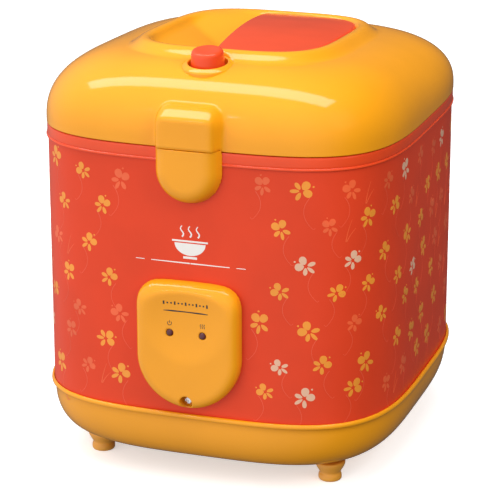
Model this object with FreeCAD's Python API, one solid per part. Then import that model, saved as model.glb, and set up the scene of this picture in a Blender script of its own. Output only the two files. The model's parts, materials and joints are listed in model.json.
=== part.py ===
import FreeCAD, Part
import math
import os

# Rice cooker: +Z up, front towards -Y, origin on the floor under the centre. Millimetres.

# ---- Driving dimensions -------------------------------------------------------------------
HALF_WIDTH = 105.0          # collar band, centre to side
HALF_DEPTH = 112.0          # collar band, centre to front
PLAN_POWER = 3.91           # superellipse power of the casing and lid outline
BASE_POWER = 3.69           # the base tub's corners are a little rounder
FRONT_REACH = 121.2         # catch, control panel and hinge stand out this far
FOOT_HEIGHT = 11.7
LIP_TOP = 45.4              # top of the base tub's rolled lip
CASING_TOP = 190.5
COLLAR_TOP = 198.2
LID_BOTTOM = 198.75
DOME_START = 201.7          # where the lid's short straight wall turns into the dome
DOME_RISE = 33.9
DOME_TILT = 3.24 / 66.0     # the dome's crown drops this much per mm towards the back
RIM_HEIGHT = 240.0          # ridge of the dish rim above the floor, at the centre
RIM_ANGLE = -2.654          # the rim leans back by this many degrees
POT_RADIUS = 80.0
HINGE_Y = 115.0
HINGE_Z = 202.0
BUTTON_Y = -81.0            # centre of the release button's hole
BUTTON_Z = 238.9
BUTTON_TILT = 8.0           # the release button leans forward by this many degrees
STEAM_TILT = 15.0

# ---- Secondary dimensions -----------------------------------------------------------------
WALL = 2.3                  # moulded plastic wall
SHEET = 1.5                 # casing wall
SECTION_POINTS = 48
CASING_GROWTH = -0.4        # casing outline against the collar band
LID_GROWTH = 0.3            # lid outline against the collar band
LIP_GROWTH = 2.1
SEAT_Z = 43.0               # ledge in the base tub that the casing stands on
DECK_TOP = 195.5
DECK_THICK = 3.0
POT_BOTTOM = 66.3
POT_WALL = 1.5
PLATE_TOP = 66.0
PLATE_BOTTOM = 58.0
LINER_RADIUS = 84.0
LINER_FLOOR = 50.0
ELEMENT_RADIUS = 52.0
COVER_BOTTOM = 199.8        # underside of the lid's inner cover
COVER_TOP = 202.0
PANEL_HALF = 29.7
PANEL_TOP = 123.5
PANEL_BOTTOM = 51.0
LAMP_X = 9.6
LAMP_Z = 95.0
LEAD_Z = 89.0               # lamp leads pass through the casing here
DISH_Z = 103.0
DISH_HALF = 23.0            # radius of the panel's dish at its edge
DISH_DEPTH = 2.5
BAR_HALF = 13.0
BAR_Z = 108.0
BAR_BACK = -118.2
PANEL_SCREW_Z = 55.2
PANEL_SCREW_SEAT = -114.6
CATCH_HALF = 19.0
CATCH_BOTTOM = 168.0
CATCH_TOP = 199.2
BUMP_BOTTOM = 199.7
INLET_Z = 75.0
INLET_SCREW_X = 17.2
INLET_SLOT_HALF_LENGTH = 1.6
INLET_SLOT_HALF_WIDTH = 0.35
HINGE_SCREW_X = 21.75
KNUCKLE_RADIUS = 6.0
PIN_RADIUS = 2.0
KNUCKLE_CLEAR = 6.6
FOOT_X = 69.5
FOOT_Y = 73.2
LATCH_PIVOT = (-104.0, 207.0)

UP = FreeCAD.Vector(0, 0, 1)


# ---- Helpers ------------------------------------------------------------------------------
def vec(x, y, z):
    return FreeCAD.Vector(x, y, z)


def section(half_x, half_y, z, power=PLAN_POWER, tilt=0.0):
    """Closed smooth superellipse; its plane drops by tilt per mm towards the back."""
    points = []
    for i in range(SECTION_POINTS):
        angle = 2 * math.pi * i / SECTION_POINTS
        c = math.cos(angle)
        s = math.sin(angle)
        reach = (abs(c / half_x) ** power + abs(s / half_y) ** power) ** (-1 / power)
        points.append(vec(reach * c, reach * s, z - tilt * reach * s))
    curve = Part.BSplineCurve()
    curve.interpolate(Points=points, PeriodicFlag=True)
    return Part.Wire([curve.toShape()])


def slab(half_x, half_y, low, high, power=PLAN_POWER):
    face = Part.Face(section(half_x, half_y, low, power))
    return face.extrude(vec(0, 0, high - low))


def plan_slab(growth, low, high):
    """Slab of the casing's plan outline, grown outwards by growth."""
    return slab(HALF_WIDTH + growth, HALF_DEPTH + growth, low, high)


def disc(radius, low, high, x=0.0, y=0.0):
    return Part.makeCylinder(radius, high - low, vec(x, y, low))


def ring(outer, inner, low, high, x=0.0, y=0.0):
    return disc(outer, low, high, x, y).cut(disc(inner, low - 1, high + 1, x, y))


def box(low, high):
    size = [b - a for a, b in zip(low, high)]
    return Part.makeBox(size[0], size[1], size[2], vec(*low))


def rod(start, direction, radius, low, high):
    """Cylinder on the line through start, from distance low to distance high."""
    base = start + direction * low
    return Part.makeCylinder(radius, high - low, base, direction)


def tidy(shape):
    """One solid, or a compound of the separate solids."""
    solids = shape.Solids
    if len(solids) == 1:
        return solids[0]
    return Part.makeCompound(solids)


def group(shapes):
    solids = []
    for shape in shapes:
        solids.extend(shape.Solids)
    return Part.makeCompound(solids)


def coil(base, direction, radius, wire, length, turns):
    """Round-wire compression coil that stands on base and points along direction."""
    pitch = length / turns
    helix = Part.makeHelix(pitch, length, radius)
    slope = vec(0, 2 * math.pi * radius, pitch)
    profile = Part.Wire([Part.makeCircle(wire, vec(radius, 0, 0), slope)])
    spring = Part.Wire(helix.Edges).makePipeShell([profile], True, True)
    turn = FreeCAD.Rotation(UP, direction)
    spring.Placement = FreeCAD.Placement(base, turn)
    return spring


def lead(points, radius, bend):
    """Round wire along straight runs joined by tangent arcs."""
    route = [vec(*point) for point in points]
    edges = []
    start = route[0]
    for before, corner, after in zip(route, route[1:], route[2:]):
        back = (before - corner).normalize()
        ahead = (after - corner).normalize()
        half_turn = (math.pi - back.getAngle(ahead)) / 2
        cut_back = bend * math.tan(half_turn)
        inward = (back + ahead).normalize()
        middle = corner + inward * (bend / math.cos(half_turn) - bend)
        arc_start = corner + back * cut_back
        arc_end = corner + ahead * cut_back
        edges.append(Part.LineSegment(start, arc_start).toShape())
        edges.append(Part.Arc(arc_start, middle, arc_end).toShape())
        start = arc_end
    edges.append(Part.LineSegment(start, route[-1]).toShape())
    profile = Part.Wire([Part.makeCircle(radius, route[0], route[1] - route[0])])
    return Part.Wire(edges).makePipeShell([profile], True, False)


def side_profile(points, half_x, curved=()):
    """Prism across X of an outline in the YZ plane; curved names the runs that are smooth."""
    outline = [vec(-half_x, y, z) for y, z in points]
    edges = []
    index = 0
    while index < len(outline) - 1:
        run = next((last for first, last in curved if first == index), None)
        if run:
            curve = Part.BSplineCurve()
            curve.interpolate(outline[index:run + 1])
            edges.append(curve.toShape())
            index = run
        else:
            edges.append(Part.LineSegment(outline[index], outline[index + 1]).toShape())
            index += 1
    edges.append(Part.LineSegment(outline[-1], outline[0]).toShape())
    return Part.Face(Part.Wire(edges)).extrude(vec(2 * half_x, 0, 0))


def front_edges(shape, y):
    """Edges that lie wholly in the plane at y."""
    flat = [edge for edge in shape.Edges if edge.BoundBox.YLength < 0.01]
    return [edge for edge in flat if abs(edge.BoundBox.YMin - y) < 0.01]


def lean(shape):
    """Lean a shape that was drawn on the level back with the dish rim."""
    leaned = shape.copy()
    leaned.rotate(vec(0, 0, RIM_HEIGHT), vec(1, 0, 0), RIM_ANGLE)
    return leaned


def cross_rod(y, z, radius, low, high):
    """Cylinder along X."""
    return Part.makeCylinder(radius, high - low, vec(low, y, z), vec(1, 0, 0))


# ---- Base ---------------------------------------------------------------------------------
def tub_body(inset_more, lift):
    """Rounded tub from the floor plane up to the lip, drawn in by inset_more."""
    half_x = HALF_WIDTH + LIP_GROWTH
    half_y = HALF_DEPTH + LIP_GROWTH + 0.1
    top_inset = 1.85
    round_in = 30.9
    rise = 30.7
    power = 2 / 2.54
    wires = []
    steps = 9
    for step in range(steps + 1):
        angle = math.radians(90.0 * (1 - step / steps))
        inset = top_inset + round_in * (1 - math.cos(angle) ** power) + inset_more
        z = FOOT_HEIGHT + rise * (1 - math.sin(angle) ** power) + lift
        wires.append(section(half_x - inset, half_y - inset, z, BASE_POWER))
    wall_top = section(half_x - top_inset - inset_more, half_y - top_inset - inset_more, 47.0, BASE_POWER)
    lower = Part.makeLoft(wires, True, False)
    upper = Part.makeLoft([wires[-1], wall_top], True, True)
    return lower.fuse(upper)


def screw_places():
    return [(x, y) for x in (-50.0, 50.0) for y in (-54.0, 54.0)]


def base_shell():
    floor = 2.5
    lip = slab(HALF_WIDTH + LIP_GROWTH, HALF_DEPTH + LIP_GROWTH + 0.1, 42.4, LIP_TOP, BASE_POWER)
    outer = tub_body(0, 0).common(box((-130, -130, 0), (130, 130, LIP_TOP))).fuse(lip)
    shell = outer.cut(tub_body(2.5, floor))
    shell = shell.cut(plan_slab(CASING_GROWTH + 0.1, SEAT_Z, 50.0))
    shell = shell.cut(box((-42, -46, 5), (42, 46, 20)))
    bosses = [disc(4.0, FOOT_HEIGHT, 26.0, x, y) for x, y in screw_places()]
    shell = shell.fuse(bosses)
    holes = [disc(1.55, 5, 24.0, x, y) for x, y in screw_places()]
    return tidy(shell.cut(holes))


def bottom_plate():
    plate = slab(58.0, 63.0, FOOT_HEIGHT - 1.2, FOOT_HEIGHT, 8.0)
    slots = []
    for row in range(-4, 5):
        slots.append(box((-24, row * 8 - 1.4, 5), (24, row * 8 + 1.4, 20)))
    holes = [disc(1.7, 5, 20, x, y) for x, y in screw_places()]
    return tidy(plate.cut(slots + holes))


def bottom_screws():
    screws = []
    for x, y in screw_places():
        head = disc(3.2, FOOT_HEIGHT - 3.2, FOOT_HEIGHT - 1.2, x, y)
        shank = disc(1.5, FOOT_HEIGHT - 1.2, 22.0, x, y)
        cross = box((x - 1.8, y - 0.4, 5), (x + 1.8, y + 0.4, 9.5))
        cross = cross.fuse(box((x - 0.4, y - 1.8, 5), (x + 0.4, y + 1.8, 9.5)))
        screws.append(tidy(head.fuse(shank).cut(cross)))
    return group(screws)


def foot(x, y):
    """Stepped foot: a flared cup above a smaller pad with a rounded sole."""
    cup = Part.makeCone(6.5, 8.7, FOOT_HEIGHT - 4.5, vec(x, y, 4.5))
    pad = disc(6.65, 0, 4.5, x, y)
    sole = [edge for edge in pad.Edges if edge.BoundBox.ZMax < 0.01]
    return tidy(pad.makeFillet(1.5, sole).fuse(cup))


# ---- Body ---------------------------------------------------------------------------------
def outer_casing():
    shell = plan_slab(CASING_GROWTH, SEAT_Z + 0.05, CASING_TOP)
    shell = shell.cut(plan_slab(CASING_GROWTH - SHEET, 30, 220))
    cuts = [
        box((-13.8, 95, INLET_Z - 11.3), (13.8, 125, INLET_Z + 11.3)),
        Part.makeCylinder(5.0, 20, vec(0, -120, LEAD_Z), vec(0, 1, 0)),
        Part.makeCylinder(1.7, 20, vec(0, -120, PANEL_SCREW_Z), vec(0, 1, 0)),
        Part.makeCylinder(3.1, 20, vec(0, -120, 176), vec(0, 1, 0)),
    ]
    for side in (-1, 1):
        cuts.append(Part.makeCylinder(1.7, 20, vec(side * HINGE_SCREW_X, 100, 184), vec(0, 1, 0)))
        cuts.append(Part.makeCylinder(1.7, 20, vec(side * INLET_SCREW_X, 100, INLET_Z), vec(0, 1, 0)))
    return tidy(shell.cut(cuts))


def top_collar():
    deck_bottom = DECK_TOP - DECK_THICK
    collar = plan_slab(0, CASING_TOP + 0.1, COLLAR_TOP)
    collar = collar.fuse(plan_slab(CASING_GROWTH - SHEET - 0.2, 182.0, CASING_TOP + 0.1))
    cuts = [
        plan_slab(CASING_GROWTH - SHEET - 2.4, 180.0, deck_bottom),
        plan_slab(-3.5, DECK_TOP, 205.0),
        disc(83.0, 180, 205),
        cross_rod(HINGE_Y, HINGE_Z, KNUCKLE_CLEAR, -29.0, 29.0),
        box((-8.2, -120, 190.9), (8.2, -104, 192.7)),
    ]
    for side in (-1, 1):
        cuts.append(Part.makeCylinder(1.7, 20, vec(side * HINGE_SCREW_X, 95, 184), vec(0, 1, 0)))
    return tidy(collar.cut(cuts))


def inner_liner():
    top = DECK_TOP - DECK_THICK
    wall = ring(LINER_RADIUS + 0.8, LINER_RADIUS, LINER_FLOOR, top)
    floor = ring(LINER_RADIUS + 0.8, 30.0, LINER_FLOOR, LINER_FLOOR + 0.8)
    flange = ring(90.0, LINER_RADIUS, top - 0.8, top)
    terminals = [disc(4.5, 40, 60, x, y) for x, y in terminal_places()]
    return tidy(wall.fuse([floor, flange]).cut(terminals))


def keep_warm_band():
    band = ring(86.4, 85.2, 120.0, 150.0)
    return tidy(band.cut(box((-4, 80, 110), (4, 95, 160))))


def terminal_places():
    """Where the element's cold ends turn down, each side of the back."""
    places = []
    for side in (-1, 1):
        angle = math.radians(90 + side * 15.0)
        places.append((ELEMENT_RADIUS * math.cos(angle), ELEMENT_RADIUS * math.sin(angle)))
    return places


def element_path(radius, gap_degrees):
    """Tube ring with a gap at the back, where its cold ends turn down."""
    tube = Part.makeTorus(ELEMENT_RADIUS, radius, vec(0, 0, PLATE_BOTTOM), UP, -180, 180, 360 - gap_degrees)
    tube.rotate(vec(0, 0, 0), UP, 90 + gap_degrees / 2)
    return tube


def heating_plate():
    plate = disc(72.0, PLATE_BOTTOM, PLATE_TOP)
    rim = [edge for edge in plate.Edges if abs(edge.BoundBox.ZMin - PLATE_TOP) < 0.01]
    plate = plate.makeFillet(4.0, rim)
    plate = plate.cut([disc(21.5, 50, 70), element_path(3.6, 24)])
    return tidy(plate)


def heating_element():
    tube = element_path(3.5, 26)
    ends = [disc(3.0, 43.0, PLATE_BOTTOM, x, y) for x, y in terminal_places()]
    return tidy(tube.fuse(ends))


def plate_legs():
    legs = []
    for turn in range(3):
        angle = math.radians(-90 + 120 * turn)
        x = 64.0 * math.cos(angle)
        y = 64.0 * math.sin(angle)
        legs.append(disc(4.0, LINER_FLOOR + 0.8, PLATE_BOTTOM, x, y))
    return group(legs)


def thermostat_housing():
    cup = disc(20.9, 34.0, 58.0).fuse(ring(26.0, 20.0, 56.8, 58.0))
    cup = cup.cut(disc(19.6, 35.5, 60.0))
    return tidy(cup.cut(ring(30.0, 26.0, 50.0, 60.0)))


def thermostat_cap():
    cup = disc(18.0, 44.0, 65.9).cut(disc(16.5, 40.0, 63.8))
    top = [edge for edge in cup.Edges if edge.BoundBox.ZMin > 65.8]
    return tidy(cup.makeFillet(1.2, top))


def thermostat_spring():
    return coil(vec(0, 0, 36.4), UP, 12.0, 0.8, 26.4, 6)


def thermal_fuse():
    fuse = Part.makeCylinder(2.2, 14.0, vec(30, -7, 55.0), vec(0, 1, 0))
    tails = Part.makeCylinder(0.6, 30.0, vec(30, -15, 55.0), vec(0, 1, 0))
    return tidy(fuse.fuse(tails))


def inner_pot():
    """Spun pot with a rounded foot and a flange that rests on the collar deck."""
    top = DECK_TOP + 1.5
    outer = disc(POT_RADIUS, POT_BOTTOM, top)
    foot_edge = [edge for edge in outer.Edges if edge.BoundBox.ZMax < POT_BOTTOM + 0.01]
    outer = outer.makeFillet(16.0, foot_edge)
    inner = disc(POT_RADIUS - POT_WALL, POT_BOTTOM + POT_WALL, top + 5)
    foot_edge = [edge for edge in inner.Edges if edge.BoundBox.ZMax < POT_BOTTOM + POT_WALL + 0.01]
    inner = inner.makeFillet(14.5, foot_edge)
    flange = ring(87.5, POT_RADIUS - POT_WALL, DECK_TOP, top)
    return tidy(outer.fuse(flange).cut(inner))


# ---- Control panel ------------------------------------------------------------------------
def panel_outline(half, y):
    """Shield: gently arched top, straight sides and a half-round bottom."""
    corner = 12.0 * half / PANEL_HALF
    low_centre = PANEL_BOTTOM + PANEL_HALF
    top = PANEL_TOP - (PANEL_HALF - half)
    shoulder = top - 1.5
    side_end = shoulder - corner
    slant = corner * (1 - math.sqrt(0.5))
    edges = [
        Part.Arc(vec(-half + corner, y, shoulder), vec(0, y, top), vec(half - corner, y, shoulder)),
        Part.Arc(
            vec(half - corner, y, shoulder),
            vec(half - slant, y, shoulder - slant),
            vec(half, y, side_end),
        ),
        Part.LineSegment(vec(half, y, side_end), vec(half, y, low_centre)),
        Part.Arc(vec(half, y, low_centre), vec(0, y, low_centre - half), vec(-half, y, low_centre)),
        Part.LineSegment(vec(-half, y, low_centre), vec(-half, y, side_end)),
        Part.Arc(vec(-half, y, side_end), vec(-half + slant, y, shoulder - slant),
                 vec(-half + corner, y, shoulder)),
    ]
    return Part.Wire([edge.toShape() for edge in edges])


def control_panel():
    back = -(HALF_DEPTH + CASING_GROWTH) - 0.2
    block = Part.Face(panel_outline(PANEL_HALF, back)).extrude(vec(0, -FRONT_REACH - back, 0))
    block = block.makeFillet(2.0, front_edges(block, -FRONT_REACH))
    hollow = Part.Face(panel_outline(PANEL_HALF - 2.5, back + 1)).extrude(vec(0, -6.2, 0))
    hollow = hollow.cut(Part.makeCylinder(5.3, 20, vec(0, -125, PANEL_SCREW_Z), vec(0, 1, 0)))
    dish_radius = (DISH_HALF ** 2 + DISH_DEPTH ** 2) / (2 * DISH_DEPTH)
    cuts = [
        hollow,
        Part.makeSphere(dish_radius, vec(0, -FRONT_REACH - dish_radius + DISH_DEPTH, DISH_Z)),
        Part.makeCylinder(3.5, 10, vec(0, PANEL_SCREW_SEAT - 10, PANEL_SCREW_Z), vec(0, 1, 0)),
        Part.makeCylinder(1.7, 20, vec(0, -125, PANEL_SCREW_Z), vec(0, 1, 0)),
        box((-BAR_HALF - 0.2, -125, BAR_Z - 1.0), (BAR_HALF + 0.2, BAR_BACK, BAR_Z + 1.0)),
    ]
    for side in (-1, 1):
        cuts.append(Part.makeCylinder(2.05, 20, vec(side * LAMP_X, -130, LAMP_Z), vec(0, 1, 0)))
    return tidy(block.cut(cuts))


def panel_bar():
    return box((-BAR_HALF, BAR_BACK - 1.6, BAR_Z - 0.85), (BAR_HALF, BAR_BACK, BAR_Z + 0.85))


def lamp_lens(side):
    lens = Part.makeCylinder(2.0, 4.2, vec(side * LAMP_X, -119.8, LAMP_Z), vec(0, 1, 0))
    front = front_edges(lens, -119.8)
    return tidy(lens.makeFillet(0.8, front))


def lamp_board():
    board = box((-16, -113.6, LAMP_Z - 8.5), (16, -112.2, LAMP_Z + 9.5))
    parts = [board]
    for side in (-1, 1):
        parts.append(Part.makeCylinder(1.5, 1.9, vec(side * LAMP_X, -115.5, LAMP_Z), vec(0, 1, 0)))
    return tidy(parts[0].fuse(parts[1:]))


def panel_screw():
    z = PANEL_SCREW_Z
    face = PANEL_SCREW_SEAT - 1.8
    head = Part.makeCylinder(3.0, 1.8, vec(0, face, z), vec(0, 1, 0))
    head = head.makeFillet(0.8, front_edges(head, face))
    shank = Part.makeCylinder(1.5, 12.0, vec(0, PANEL_SCREW_SEAT, z), vec(0, 1, 0))
    cross = box((-1.9, -121, z - 0.4), (1.9, face + 0.8, z + 0.4))
    cross = cross.fuse(box((-0.4, -121, z - 1.9), (0.4, face + 0.8, z + 1.9)))
    return tidy(head.fuse(shank).cut(cross))


# ---- Catch --------------------------------------------------------------------------------
def catch_outline(half, y):
    centre = CATCH_BOTTOM + CATCH_HALF
    edges = [
        Part.LineSegment(vec(-half, y, CATCH_TOP), vec(half, y, CATCH_TOP)),
        Part.LineSegment(vec(half, y, CATCH_TOP), vec(half, y, centre)),
        Part.Arc(vec(half, y, centre), vec(0, y, centre - half), vec(-half, y, centre)),
        Part.LineSegment(vec(-half, y, centre), vec(-half, y, CATCH_TOP)),
    ]
    return Part.Wire([edge.toShape() for edge in edges])


def catch_cover():
    back = -HALF_DEPTH - 0.1
    block = Part.Face(catch_outline(CATCH_HALF, back)).extrude(vec(0, -FRONT_REACH - back, 0))
    rounded = [edge for edge in front_edges(block, -FRONT_REACH) if edge.BoundBox.ZMin < CATCH_TOP - 0.1]
    block = block.makeFillet(4.5, rounded)
    peg = Part.makeCylinder(3.0, 9.0, vec(0, back - 1, 176), vec(0, 1, 0))
    cuts = [
        box((-13, -119.6, 184), (13, back + 1, 205)),
        box((-30, -HALF_DEPTH - 0.6, COLLAR_TOP + 0.1), (30, back + 1, 205)),
    ]
    return tidy(block.cut(cuts).fuse(peg))


def catch_strike():
    return box((-8, -112.9, 191.0), (8, -104.5, 192.5))


# ---- Hinge --------------------------------------------------------------------------------
def hinge_bracket():
    face = HALF_DEPTH + 0.1
    block = box((-28, face, 172), (28, FRONT_REACH, 202.0))
    corners = [edge for edge in block.Edges
               if abs(edge.BoundBox.YMin - FRONT_REACH) < 0.01 and edge.BoundBox.YLength < 0.01
               and edge.BoundBox.ZMin < 201]
    block = block.makeFillet(4.0, corners)
    block = block.cut(cross_rod(HINGE_Y, HINGE_Z, KNUCKLE_CLEAR, -18, 18))
    block = block.cut(box((-18, 105, 199), (18, 130, 210)))
    block = block.cut(box((-30, face - 1, LID_BOTTOM - 0.5), (30, 112.7, 210)))
    knuckles = []
    for side in (-1, 1):
        low = 18.0 if side > 0 else -28.0
        knuckles.append(cross_rod(HINGE_Y, HINGE_Z, KNUCKLE_RADIUS, low, low + 10.0))
    block = block.fuse(knuckles)
    cuts = [cross_rod(HINGE_Y, HINGE_Z, PIN_RADIUS + 0.03, -40, 40)]
    for side in (-1, 1):
        cuts.append(Part.makeCylinder(1.55, 8, vec(side * HINGE_SCREW_X, 110, 184), vec(0, 1, 0)))
    return tidy(block.cut(cuts))


def hinge_pin():
    return cross_rod(HINGE_Y, HINGE_Z, PIN_RADIUS, -27.5, 27.5)


def hinge_springs():
    springs = []
    for low in (-17.2, 11.2):
        springs.append(coil(vec(low, HINGE_Y, HINGE_Z), vec(1, 0, 0), 3.7, 0.5, 6.0, 3))
    return group(springs)


def hinge_screws():
    screws = []
    for side in (-1, 1):
        x = side * HINGE_SCREW_X
        head = Part.makeCylinder(3.0, 2.0, vec(x, 98.6, 184), vec(0, 1, 0))
        shank = Part.makeCylinder(1.5, 17.0, vec(x, 100.6, 184), vec(0, 1, 0))
        screws.append(tidy(head.fuse(shank)))
    return group(screws)


# ---- Power inlet and wiring ---------------------------------------------------------------
def blade_places():
    return [(0.0, INLET_Z + 3.6), (-7.0, INLET_Z - 2.4), (7.0, INLET_Z - 2.4)]


def power_inlet():
    face = HALF_DEPTH + CASING_GROWTH + 0.15
    flange = box((-21, face, INLET_Z - 14), (21, face + 2.6, INLET_Z + 14))
    deep = [edge for edge in flange.Edges if edge.BoundBox.XLength < 0.01]
    corners = [edge for edge in deep if edge.BoundBox.ZLength < 0.01]
    flange = flange.makeFillet(4.0, corners)
    body = box((-13.5, 94.5, INLET_Z - 11), (13.5, face, INLET_Z + 11))
    cavity = box((-12.2, 96.5, INLET_Z - 8.4), (12.2, 120, INLET_Z + 8.4))
    cuts = [cavity]
    for x, z in blade_places():
        cuts.append(box((x - 1.05, 90, z - 2.05), (x + 1.05, 120, z + 2.05)))
    for side in (-1, 1):
        cuts.append(Part.makeCylinder(1.7, 20, vec(side * INLET_SCREW_X, 105, INLET_Z), vec(0, 1, 0)))
    return tidy(flange.fuse(body).cut(cuts))


def inlet_pins():
    return group([box((x - 1.0, 91, z - 2.0), (x + 1.0, 109, z + 2.0)) for x, z in blade_places()])


def inlet_screws():
    face = HALF_DEPTH + CASING_GROWTH + 0.15 + 2.6
    screws = []
    for side in (-1, 1):
        x = side * INLET_SCREW_X
        head = Part.makeCylinder(2.7, 1.4, vec(x, face, INLET_Z), vec(0, 1, 0))
        slot = box(
            (x - INLET_SLOT_HALF_LENGTH, face + 0.7, INLET_Z - INLET_SLOT_HALF_WIDTH),
            (x + INLET_SLOT_HALF_LENGTH, face + 3.0, INLET_Z + INLET_SLOT_HALF_WIDTH),
        )
        shank = Part.makeCylinder(1.4, 12.0, vec(x, face - 12.0, INLET_Z), vec(0, 1, 0))
        screws.append(tidy(head.fuse(shank).cut(slot)))
    return group(screws)


def supply_leads():
    leads = []
    for side in (-1, 1):
        x = side * 7.0
        leads.append(lead([(x, 89.6, 72.6), (x, 89.6, 38.0), (x, 56.0, 38.0)], 1.2, 14.0))
    return group(leads)


def lamp_leads():
    leads = []
    for x in (-2.0, 2.0):
        leads.append(lead([(x, -112.1, LEAD_Z), (x, -94, LEAD_Z), (x, -94, 38), (x, -56, 38)], 0.8, 8.0))
    return group(leads)


# ---- Lid ----------------------------------------------------------------------------------
def dome(inset, lift, low):
    """Solid lid dome, its surface moved in by inset and down by lift."""
    half_x = HALF_WIDTH + LID_GROWTH - inset
    half_y = HALF_DEPTH + 0.2 - inset
    wires = []
    steps = 9
    for step in range(steps + 1):
        angle = math.radians(90.0 * step / steps)
        height = math.sin(angle) ** (2 / 2.24)
        run_in = 1 - math.cos(angle) ** (2 / 2.1)
        power = PLAN_POWER - 0.49 * run_in
        z = DOME_START + DOME_RISE * height - lift
        wires.append(section(half_x - 47.3 * run_in, half_y - 42.2 * run_in, z, power, DOME_TILT * height))
    wall = slab(half_x, half_y, low, DOME_START - lift)
    return wall.fuse(Part.makeLoft(wires, True, False))


def dish_rim():
    wires = [
        section(60.0, 72.0, RIM_HEIGHT - 6.5, 3.6),
        section(57.0, 69.0, RIM_HEIGHT - 3.2, 3.7),
        section(54.5, 66.5, RIM_HEIGHT, 3.8),
    ]
    return lean(Part.makeLoft(wires, True, True))


def grip_space(grow):
    """Room for fingers: slopes down from the left rim and in under the grip panel."""
    points = [(-60, 255), (-60, 240.5), (-47, 236.5), (-30, 229.5), (-8, 221), (6, 218), (13, 223),
              (14, 236.5), (60, 236.5), (60, 255)]
    outline = []
    for x, z in points:
        drop = grow if z < 250 else 0
        aside = grow if 10 < x < 20 else 0
        outline.append(vec(x + aside, -80, z - drop))
    outline.append(outline[0])
    wedge = Part.Face(Part.makePolygon(outline)).extrude(vec(0, 160, 0))
    well = slab(50.5 + grow, 62.5 + grow, 205, 256, 3.8)
    return lean(wedge.common(well))


def button_frame():
    tilt = math.radians(BUTTON_TILT)
    centre = vec(0, BUTTON_Y, BUTTON_Z)
    outward = vec(0, -math.sin(tilt), math.cos(tilt))
    return centre, outward


def dome_height(y):
    """Height of the dome's surface on its centre line."""
    run_in = (HALF_DEPTH + 0.2 - abs(y)) / 42.2
    height = (1 - (1 - run_in) ** 2.1) ** (1 / 2.24)
    return DOME_START + DOME_RISE * height - DOME_TILT * height * y


def steam_frame():
    tilt = math.radians(STEAM_TILT)
    centre = vec(0, 87.0, dome_height(87.0) + 0.6)
    outward = vec(0, math.sin(tilt), math.cos(tilt))
    return centre, outward


def latch_bump():
    points = [(-98, BUMP_BOTTOM), (-120.9, BUMP_BOTTOM), (-120.9, 207), (-119.6, 213.5), (-116, 219.3),
              (-110, 224.2), (-101, 228.8), (-98, 230)]
    return side_profile(points, CATCH_HALF, curved=((2, 6),))


def lid_screw_places():
    return [(x, y) for x in (-72.0, 72.0) for y in (-84.0, 84.0)]


def lid_shell():
    centre, outward = button_frame()
    steam, steam_out = steam_frame()
    outer = dome(0, 0, LID_BOTTOM).fuse([dish_rim(), latch_bump(), rod(centre, outward, 15.0, -12, 0)])
    shell = outer.cut([dome(WALL, WALL, 190), box((-15, -118.6, 190), (15, -100, 216))])
    added = [grip_space(2.0), rod(centre, outward, 15.5, -20, 0), rod(steam, steam_out, 13.5, -6, 1)]
    added += [disc(4.0, COVER_TOP, 236, x, y) for x, y in lid_screw_places()]
    shell = shell.fuse([piece.common(outer) for piece in added])
    cuts = [
        grip_space(0),
        rod(centre, outward, 11.0, -30, 5),
        rod(centre, outward, 13.2, -30, -5),
        rod(steam, steam_out, 11.5, -4, 6),
        rod(steam, steam_out, 6.0, -12, 6),
        cross_rod(HINGE_Y, HINGE_Z, KNUCKLE_CLEAR, -28.6, 28.6),
        box((-10.3, 98, 190), (10.3, 125, 206.8)),
    ]
    cuts += [disc(1.55, COVER_TOP - 2, 214, x, y) for x, y in lid_screw_places()]
    return tidy(shell.cut(cuts))


def grip_panel():
    """Red panel over the dish, crowned along Y, its left edge free for the fingers."""
    half_y = 61.7
    low = RIM_HEIGHT - 3.4
    edge_z = RIM_HEIGHT - 0.4
    crown = RIM_HEIGHT + 2.6
    edges = [
        Part.Arc(vec(-70, -half_y, edge_z), vec(-70, 0, crown), vec(-70, half_y, edge_z)),
        Part.LineSegment(vec(-70, half_y, edge_z), vec(-70, half_y, low)),
        Part.LineSegment(vec(-70, half_y, low), vec(-70, -half_y, low)),
        Part.LineSegment(vec(-70, -half_y, low), vec(-70, -half_y, edge_z)),
    ]
    arch = Part.Face(Part.Wire([edge.toShape() for edge in edges])).extrude(vec(140, 0, 0))
    well = slab(50.1, 62.1, 230, 250, 3.8)
    left = Part.makePolygon([vec(-3, -70, 230), vec(70, -70, 230), vec(70, 70, 230), vec(-16, 70, 230),
                             vec(-3, -70, 230)])
    right_side = Part.Face(left).extrude(vec(0, 0, 20))
    return tidy(lean(arch.common(well).common(right_side)))


def lid_inner_cover():
    plate = slab(HALF_WIDTH - 2.4, HALF_DEPTH - 2.5, COVER_BOTTOM, COVER_TOP)
    cuts = [
        box((-30, 106.5, 190), (30, 125, 210)),
        box((-8, 62, 190), (8, 76, 210)),
        disc(5.1, 190, 210),
    ]
    cuts += [disc(1.7, 190, 210, x, y) for x, y in lid_screw_places()]
    return tidy(plate.cut(cuts))


def lid_screws():
    screws = []
    for x, y in lid_screw_places():
        head = disc(3.0, COVER_BOTTOM - 1.6, COVER_BOTTOM, x, y)
        shank = disc(1.5, COVER_BOTTOM, 212.0, x, y)
        cross = box((x - 1.7, y - 0.4, 190), (x + 1.7, y + 0.4, COVER_BOTTOM - 0.7))
        cross = cross.fuse(box((x - 0.4, y - 1.7, 190), (x + 0.4, y + 1.7, COVER_BOTTOM - 0.7)))
        screws.append(tidy(head.fuse(shank).cut(cross)))
    return group(screws)


def lid_inner_plate():
    plate = disc(79.2, 197.6, 198.8)
    cuts = [disc(5.1, 190, 205)]
    for index in range(-2, 3):
        angle = math.radians(90 + 6 * index)
        cuts.append(disc(1.8, 190, 205, 69.0 * math.cos(angle), 69.0 * math.sin(angle)))
    return tidy(plate.cut(cuts))


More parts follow.
